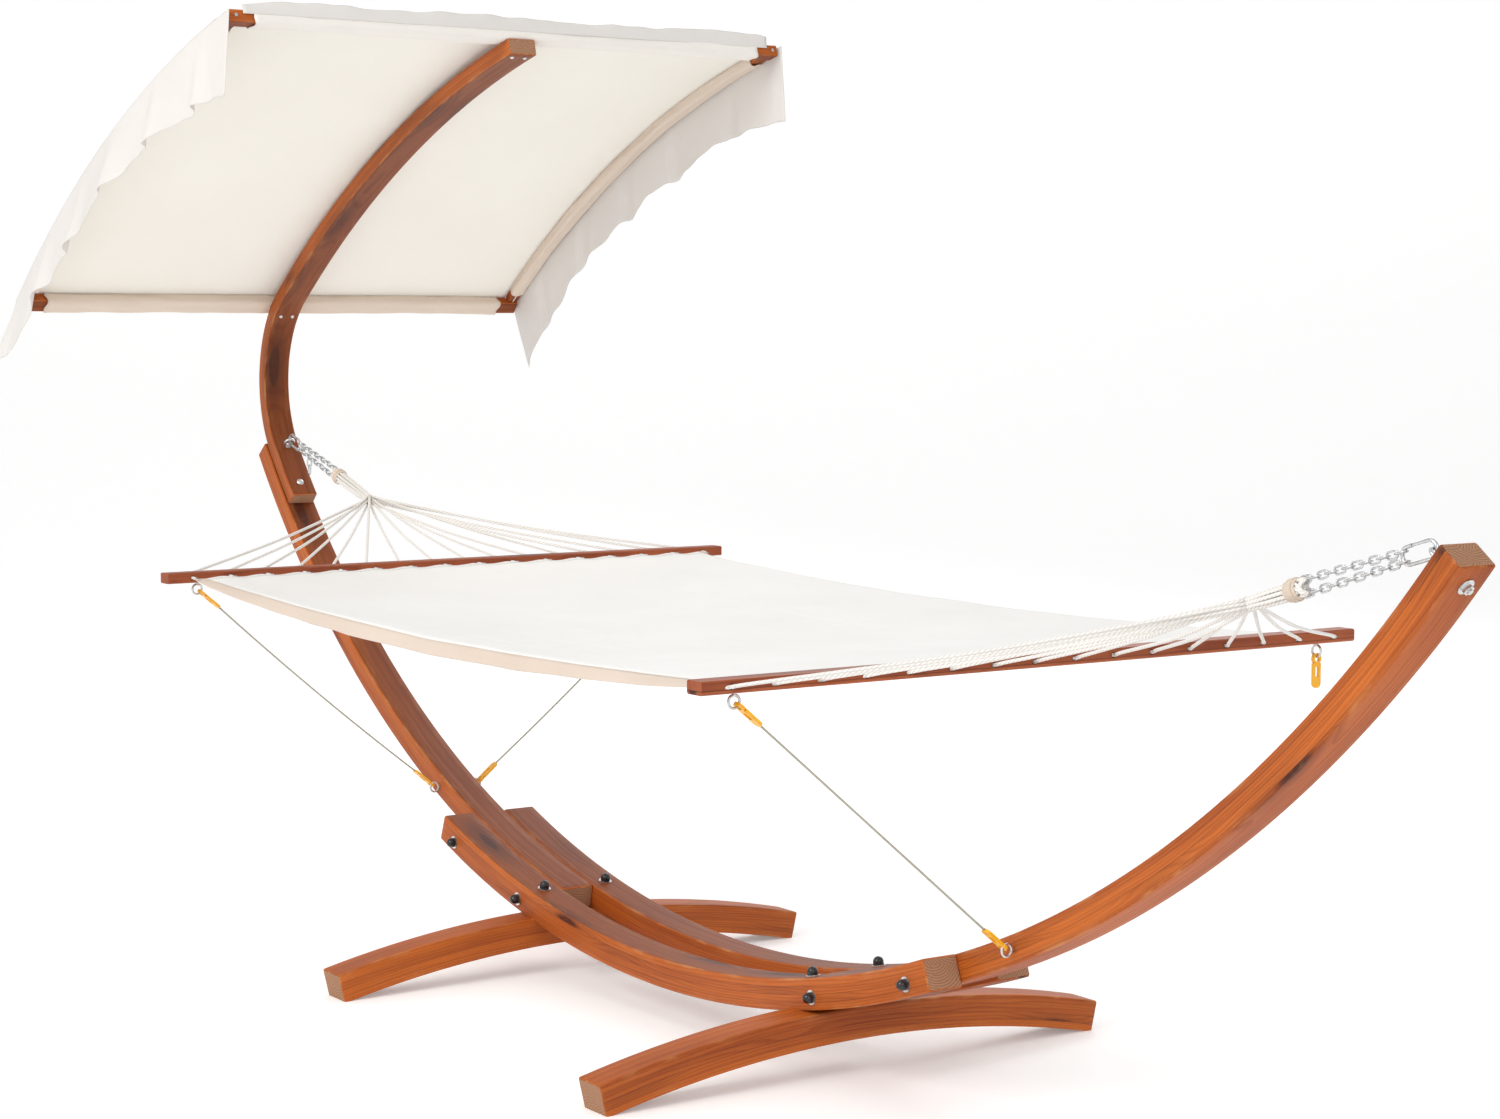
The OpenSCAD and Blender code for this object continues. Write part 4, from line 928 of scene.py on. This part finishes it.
def make_bed():
    """White canvas with a doubled hem all round, rolled down along its long sides."""
    rows, columns = 170, 150
    half = BED_THICKNESS / 2 - 0.0008
    points, weave = [], []
    for top in (1, -1):
        for i in range(rows + 1):
            u = i / rows
            for j in range(columns + 1):
                v = -1 + 2 * j / columns
                v = math.copysign(abs(v) ** 0.8, v)
                hem = min(u * BED_LENGTH, (1 - u) * BED_LENGTH, (1 - abs(v)) * BED_WIDTH / 2)
                thick = half if 0.0 < hem < BED_HEM else half * 0.62
                if hem <= 0.0006:
                    thick = half * 0.35
                points.append(bed_point(u, v, top * thick))
                weave.append((v * BED_WIDTH / 2, u * BED_LENGTH, 0.0))
    faces = two_sided_faces(rows, columns)
    bed = new_piece(
        "bed_canvas", points, faces, CANVAS, HAMMOCK, {"weave": weave}, ["bed"]
    )
    # the turned-down long sides take the darker beige copy of the canvas: painted shade on the fabric's
    # underside
    bed.data.materials.append(CANVAS_SHADED_SIDE)
    for polygon in bed.data.polygons:
        y = [abs(weave[k][0]) for k in polygon.vertices]
        if min(y) > BED_WIDTH / 2 * (BED_FOLD - 0.002):
            polygon.material_index = 1
    make_bed_stitching()
    make_bed_eyelets()


def dashes(spots, radius=0.0005):
    """Paths of short stitches, each tapered at its ends, from pairs of points."""
    return [
        [(a, radius * 0.5), (a.lerp(b, 0.2), radius), (a.lerp(b, 0.8), radius), (b, radius * 0.5)]
        for a, b in spots
    ]


def make_bed_stitching():
    """Two rows of stitches along every hem."""
    spots = []
    for row in STITCH_ROWS:
        v = 1 - row * 2 / BED_WIDTH
        for hand in (-1, 1):
            for i in range(8, 300):
                u0, u1 = i / 308, (i + 0.6) / 308
                near = bed_point(u0, hand * v, BED_STITCH_LIFT)
                spots.append((near, bed_point(u1, hand * v, BED_STITCH_LIFT)))
        u = row / BED_LENGTH
        for end in (u, 1 - u):
            for i in range(3, 197):
                v0, v1 = -1 + 2 * i / 200, -1 + 2 * (i + 0.6) / 200
                near = bed_point(end, v0, BED_STITCH_LIFT)
                spots.append((near, bed_point(end, v1, BED_STITCH_LIFT)))
    tubes("bed_stitching", dashes(spots), STITCH, HAMMOCK, sides=4)


def make_bed_eyelets():
    """A metal eyelet in the hem where each rope meets the bed."""
    paths = []
    for end in (0.0048, 1 - 0.0048):
        for i in range(ROPE_COUNT):
            share = (i - (ROPE_COUNT - 1) / 2) * 2 / (ROPE_COUNT - 1)
            v = share * (BED_WIDTH - 2 * BED_HEM_IN) / BED_WIDTH
            centre = bed_point(end, v, 0.0022)
            ring = []
            for k in range(17):
                a = 2 * math.pi * k / 16
                out = Vector((EYELET_RADIUS * math.cos(a), EYELET_RADIUS * math.sin(a), 0.0))
                ring.append((centre + out, EYELET_WIRE))
            paths.append(ring)
    tubes("bed_eyelets", paths, ZINC, HAMMOCK, sides=6)


# ---------------------------------------------------------------- sunshade


def shade_point(slope, y, radius):
    return UPPER_CENTRE + radius * outward(slope) + Vector((0, y, 0))


def strip_mesh(rows, columns, place, thickness):
    """A closed sheet from place(i, j) on one side and the thickness vector added for the other."""
    points = []
    for back in (0, 1):
        for i in range(rows + 1):
            for j in range(columns + 1):
                point = place(i / rows, j / columns)
                points.append(point + thickness if back else point)
    faces = two_sided_faces(rows, columns)
    return points, faces


def make_shade_panel():
    """The cloth stretched over the frame, dipping a little between the battens."""
    rows, columns = 90, 96
    low, high = LOW_SLOPE - 0.20, HIGH_BAR_SLOPE + 0.25
    half = CLOTH_HALF

    def place(i, j):
        v = 2 * j - 1
        dip = 0.016 * (1 - v * v) * math.sin(math.pi * i)
        corner = abs(v) ** 8 * (math.exp(-i * 9) + math.exp(-(1 - i) * 9))
        crease = noise.noise(Vector((i * 7, v * 3, 0.3))) * 0.0022
        crease += noise.noise(Vector((i * 3, v * 17, 2.3))) * 0.0012
        drag = math.sin((v * 5 + i * 14)) * 0.002 * corner
        radius = SHEET_RADIUS - dip + crease * math.sin(math.pi * i) + drag
        return shade_point(low + (high - low) * i, v * half, radius)

    points, faces = strip_mesh(rows, columns, place, Vector((0, 0, CLOTH_THICKNESS)))
    length = math.radians(low - high) * SHEET_RADIUS
    weave = on_both_sides(rows, columns, lambda i, j: ((j - 0.5) * 2 * half, i * length, 0.0))
    panel = new_piece(
        "shade_panel_cloth", points, faces, SHADE, STAND, {"weave": weave}, ["shade_panel"]
    )


def sleeve_outline(width, depth, count=40):
    """Points (across, through) round a sleeve's section, a box with soft corners."""
    outline = []
    for k in range(count):
        a = 2 * math.pi * k / count
        c, s = math.cos(a), math.sin(a)
        power = 5.0
        r = 1.0 / (abs(c) ** power + abs(s) ** power) ** (1 / power)
        outline.append((width / 2 * r * c, depth / 2 * r * s))
    return outline


def sleeve_mesh(stations, width, depth, seed):
    """A cloth tube round a bar, with drag lines, a wavy mouth and its two ends left open."""
    outline = sleeve_outline(width, depth)
    count = len(outline)
    points, weave = [], []
    for inner in (0, 1):
        for distance, origin, across, through in stations:
            from_end = min(distance - stations[0][0], stations[-1][0] - distance)
            mouth = math.exp(-from_end * 30)
            ahead = across.cross(through)
            for k, (x, z) in enumerate(outline):
                a = 2 * math.pi * k / count
                spot = Vector((distance * 11, math.cos(a) * 1.3 + seed, math.sin(a) * 1.3))
                wrinkle = noise.noise(spot) * 0.0018
                wrinkle += math.sin(a * 5 + distance * 9 + seed) * 0.0006
                flare = 1 + mouth * 0.05
                grow = flare * (1 + (wrinkle - inner * 0.0014) / (0.5 * math.hypot(x, z) + 0.008))
                sway = math.sin(a * 3 + seed) * 0.003 * mouth
                points.append(origin + across * x * grow + through * (z * grow) + ahead * sway)
                weave.append((distance, a * (width + depth) / math.pi, 0.0))
    rings = len(stations)
    faces = ring_faces(count, rings)
    shift = rings * count
    faces += [tuple(shift + k for k in reversed(f)) for f in ring_faces(count, rings)]
    for start in (0, (rings - 1) * count):
        for k in range(count):
            j = (k + 1) % count
            faces.append((start + k, start + j, shift + start + j, shift + start + k))
    return points, faces, weave


def make_bar_sleeve(name, place, slope, seed, material, replaced):
    """Sleeve on a bar; where the pole crosses it, the cloth lies flat between bar and pole."""
    half = SLEEVE_HALF
    through = outward(slope)
    gap = POLE_WIDTH / 2
    stations = []
    for i in range(141):
        y = -half + 2 * half * i / 140
        stations.append((y + half, place + Vector((0, y, 0)), climbing(slope), through))
    width, depth = SHADE_BAR_WIDTH + SLEEVE_EASE, SHADE_BAR_DEPTH + SLEEVE_EASE
    points, faces, weave = sleeve_mesh(stations, width, depth, seed)
    # the cloth lies flat between bar and pole
    for k, point in enumerate(points):
        off = point - place
        reach = max(0.0, min(1.0, (gap + 0.010 - abs(off.y)) / 0.010))
        height = off.dot(through)
        floor = -SHADE_BAR_DEPTH / 2 + 0.0006
        if reach > 0 and height < floor:
            points[k] = point + through * (floor - height) * reach
    return new_piece(name, points, faces, material, STAND, {"weave": weave}, replaced)


def make_batten_sleeve(name, side, replaced):
    """Sleeve on a side batten, ending short of the frame's corners."""
    corner = math.degrees(CORNER / BATTEN_RADIUS)
    stations = arc_stations(
        UPPER_CENTRE, BATTEN_RADIUS, 90 + HIGH_BAR_SLOPE + corner, 90 + LOW_SLOPE - corner,
        side * BATTEN_Y, 0.010,
    )
    width, depth = BATTEN_WIDTH + SLEEVE_EASE, BATTEN_DEPTH + SLEEVE_EASE
    points, faces, weave = sleeve_mesh(stations, width, depth, 3.0 + side)
    return new_piece(name, points, faces, SHADE_SLEEVE, STAND, {"weave": weave}, replaced)


def make_front_hem():
    """The panel's front edge stands up above the upper sleeve as a soft pleated hem."""
    half = CLOTH_HALF
    along = climbing(HIGH_BAR_SLOPE)
    through = outward(HIGH_BAR_SLOPE)

    def place(i, j):
        y = (2 * i - 1) * half
        wave = noise.noise(Vector((y * 4.5, 0.4, 8.1)))
        fine = noise.noise(Vector((y * 17, 0.9, 3.1)))
        height = FRONT_HEM + 0.007 * wave + 0.003 * fine - 0.010 * abs(2 * i - 1) ** 12
        lean = (0.010 * wave + 0.004 * fine) * j * j
        foot = HIGH_BAR + along * (SHADE_BAR_WIDTH / 2 + 0.0032 + lean)
        return foot + through * (0.004 + height * j) + Vector((0, y, 0))

    rows, columns = 150, 10
    points, faces = strip_mesh(rows, columns, place, along * 0.0014)
    weave = on_both_sides(rows, columns, lambda i, j: (i * 2 * half, j * FRONT_HEM, 0.0))
    hem = new_piece("shade_front_hem", points, faces, VALANCE, STAND, {"weave": weave})


def make_valance(name, side):
    """A side flap that hangs from the batten's sleeve in soft uneven waves."""
    rows, columns = 260, 30
    top_slope, low_slope = POLE_END - 0.15, LOW_SLOPE + 0.15
    length = math.radians(low_slope - top_slope) * BATTEN_RADIUS
    seed = 2.0 + side

    def place(i, j):
        slope = low_slope + (top_slope - low_slope) * i
        top = shade_point(slope, side * (BATTEN_Y + BATTEN_WIDTH / 2 + 0.0042), BATTEN_RADIUS + 0.009)
        free = j**1.2
        s = i * length
        wave = noise.noise(Vector((s * 3.2, seed, j * 0.4)))
        ruffle = noise.noise(Vector((s * 10, seed * 2, j * 0.6)))
        pleat = max(0.0, math.sin(s * 2 * math.pi / 0.26 + seed + wave)) ** 3
        ends = math.exp(-s * 14) + math.exp(-(length - s) * 14)
        hem = 0.13 * noise.noise(Vector((s * 4.6, seed, 0.0)))
        hem += 0.07 * noise.noise(Vector((s * 13, seed, 2.0)))
        middle = math.sin(math.pi * i) ** 2
        drop = VALANCE_DROP * (1 + hem - 0.16 * middle) + 0.022 * ends * j
        away = 0.020 * wave + 0.009 * ruffle + 0.020 * pleat + 0.006 + 0.050 * math.exp(-s * 6)
        out = side * min(away, 0.070) * free
        shift = (0.034 * noise.noise(Vector((s * 3.6, seed + 7, 0.0))) - 0.018 * pleat) * free
        return top + Vector((shift, out + side * 0.001, -drop * j))

    points, faces = strip_mesh(rows, columns, place, Vector((0, side * CLOTH_THICKNESS, 0)))
    weave = on_both_sides(rows, columns, lambda i, j: (i * length, j * VALANCE_DROP, 0.0))
    flap = new_piece(
        name + "_cloth", points, faces, VALANCE, STAND, {"weave": weave}, [name]
    )


# ---------------------------------------------------------------- hardware


def dress_hardware():
    """The bolts, chains, rings, hooks and caps keep their CAD shapes and get their finishes."""
    finishes = {
        "zinc_steel": ZINC,
        "black_plastic": BLACK,
        "yellow_plastic": YELLOW,
        "bar_timber": BAR_WOOD,
    }
    for part in frame["record"]["subparts"]:
        material = finishes.get(part["material_slot"])
        node = frame["nodes"][part["node"]]
        if material:
            node.data.materials.clear()
            node.data.materials.append(material)


# ---------------------------------------------------------------- studio


def make_floor():
    """A wide pale floor that curves up far behind the stand, clear when looked at from behind."""
    points, faces = [], []
    front, flat, curve, top, half = -14.0, 8.0, 3.0, 9.0, 16.0
    profile = [(front, 0.0), (flat, 0.0)]
    for k in range(1, 13):
        a = math.radians(90 * k / 12)
        profile.append((flat + curve * math.sin(a), curve - curve * math.cos(a)))
    profile.append((flat + curve, top))
    heading = math.radians(180 - VIEW_HEADING)
    back = Vector((math.cos(heading), math.sin(heading), 0))
    side = Vector((-back.y, back.x, 0))
    for away, height in profile:
        for across in (-half, half):
            points.append(back * away + side * across + Vector((0, 0, height)))
    for i in range(len(profile) - 1):
        faces.append((2 * i, 2 * i + 2, 2 * i + 3, 2 * i + 1))
    mesh = bpy.data.meshes.new("floor")
    mesh.from_pydata([tuple(p) for p in points], [], faces)
    mesh.polygons.foreach_set("use_smooth", [True] * len(mesh.polygons))
    finish = Finish("pale_floor", Roughness=0.75, Specular_IOR_Level=0.2, Emission_Strength=0.22)
    finish.shader.inputs["Base Color"].default_value = (0.90, 0.90, 0.90, 1.0)
    finish.shader.inputs["Emission Color"].default_value = (1.0, 1.0, 1.0, 1.0)
    from_behind = finish.node("ShaderNodeNewGeometry").out("Backfacing")
    finish.drive("Alpha", 1.0 - from_behind)
    mesh.materials.append(finish.material)
    floor = bpy.data.objects.new("floor", mesh)
    bpy.context.scene.collection.objects.link(floor)


def add_light(name, place, target, width, height, power, colour=(1, 1, 1)):
    data = bpy.data.lights.new(name, "AREA")
    data.shape = "RECTANGLE"
    data.size, data.size_y = width, height
    data.energy = power
    data.color = colour
    light = bpy.data.objects.new(name, data)
    light.location = place
    light.rotation_euler = (Vector(target) - Vector(place)).to_track_quat("-Z", "Y").to_euler()
    bpy.context.scene.collection.objects.link(light)


def light_studio():
    """A white sky and three soft lights; plain tones, so that white stays white."""
    world = bpy.data.worlds.new("studio")
    world.use_nodes = True
    sky = world.node_tree.nodes["Background"]
    sky.inputs["Color"].default_value = (1.0, 1.0, 1.0, 1.0)
    sky.inputs["Strength"].default_value = 0.68
    bpy.context.scene.world = world
    bpy.context.scene.view_settings.view_transform = "Standard"
    add_light("key", (1.0, -6.5, 5.0), (-0.2, 0, 0.9), 4.0, 3.0, 270, (1.0, 0.99, 0.97))
    add_light("front", (6.5, -1.5, 3.5), (0, 0, 0.8), 3.0, 3.0, 60)
    add_light("rim", (-4.0, 5.0, 5.0), (0, 0, 1.0), 3.0, 2.0, 120, (0.96, 0.98, 1.0))


# ---------------------------------------------------------------- making

make_tie_cords()
make_rails_and_arms()
make_cross_feet()
make_canopy_pole()
make_canopy_frame()
make_ropes(-1, "head")
make_ropes(1, "foot")
make_whipping(-1, "head")
make_whipping(1, "foot")
make_bed()
make_shade_panel()
make_bar_sleeve("sleeve_cloth_low", LOW_BAR, LOW_BAR_SLOPE, 1.0, SHADE_SLEEVE, ["sleeve_low"])
make_bar_sleeve("sleeve_cloth_high", HIGH_BAR, HIGH_BAR_SLOPE, 2.0, HIGH_SLEEVE, ["sleeve_high"])
make_batten_sleeve("sleeve_cloth_near", -1, ["sleeve_near"])
make_batten_sleeve("sleeve_cloth_far", 1, ["sleeve_far"])
make_front_hem()
make_valance("valance_near", -1)
make_valance("valance_far", 1)
dress_hardware()
make_floor()
light_studio()

bpy.context.view_layer.update()
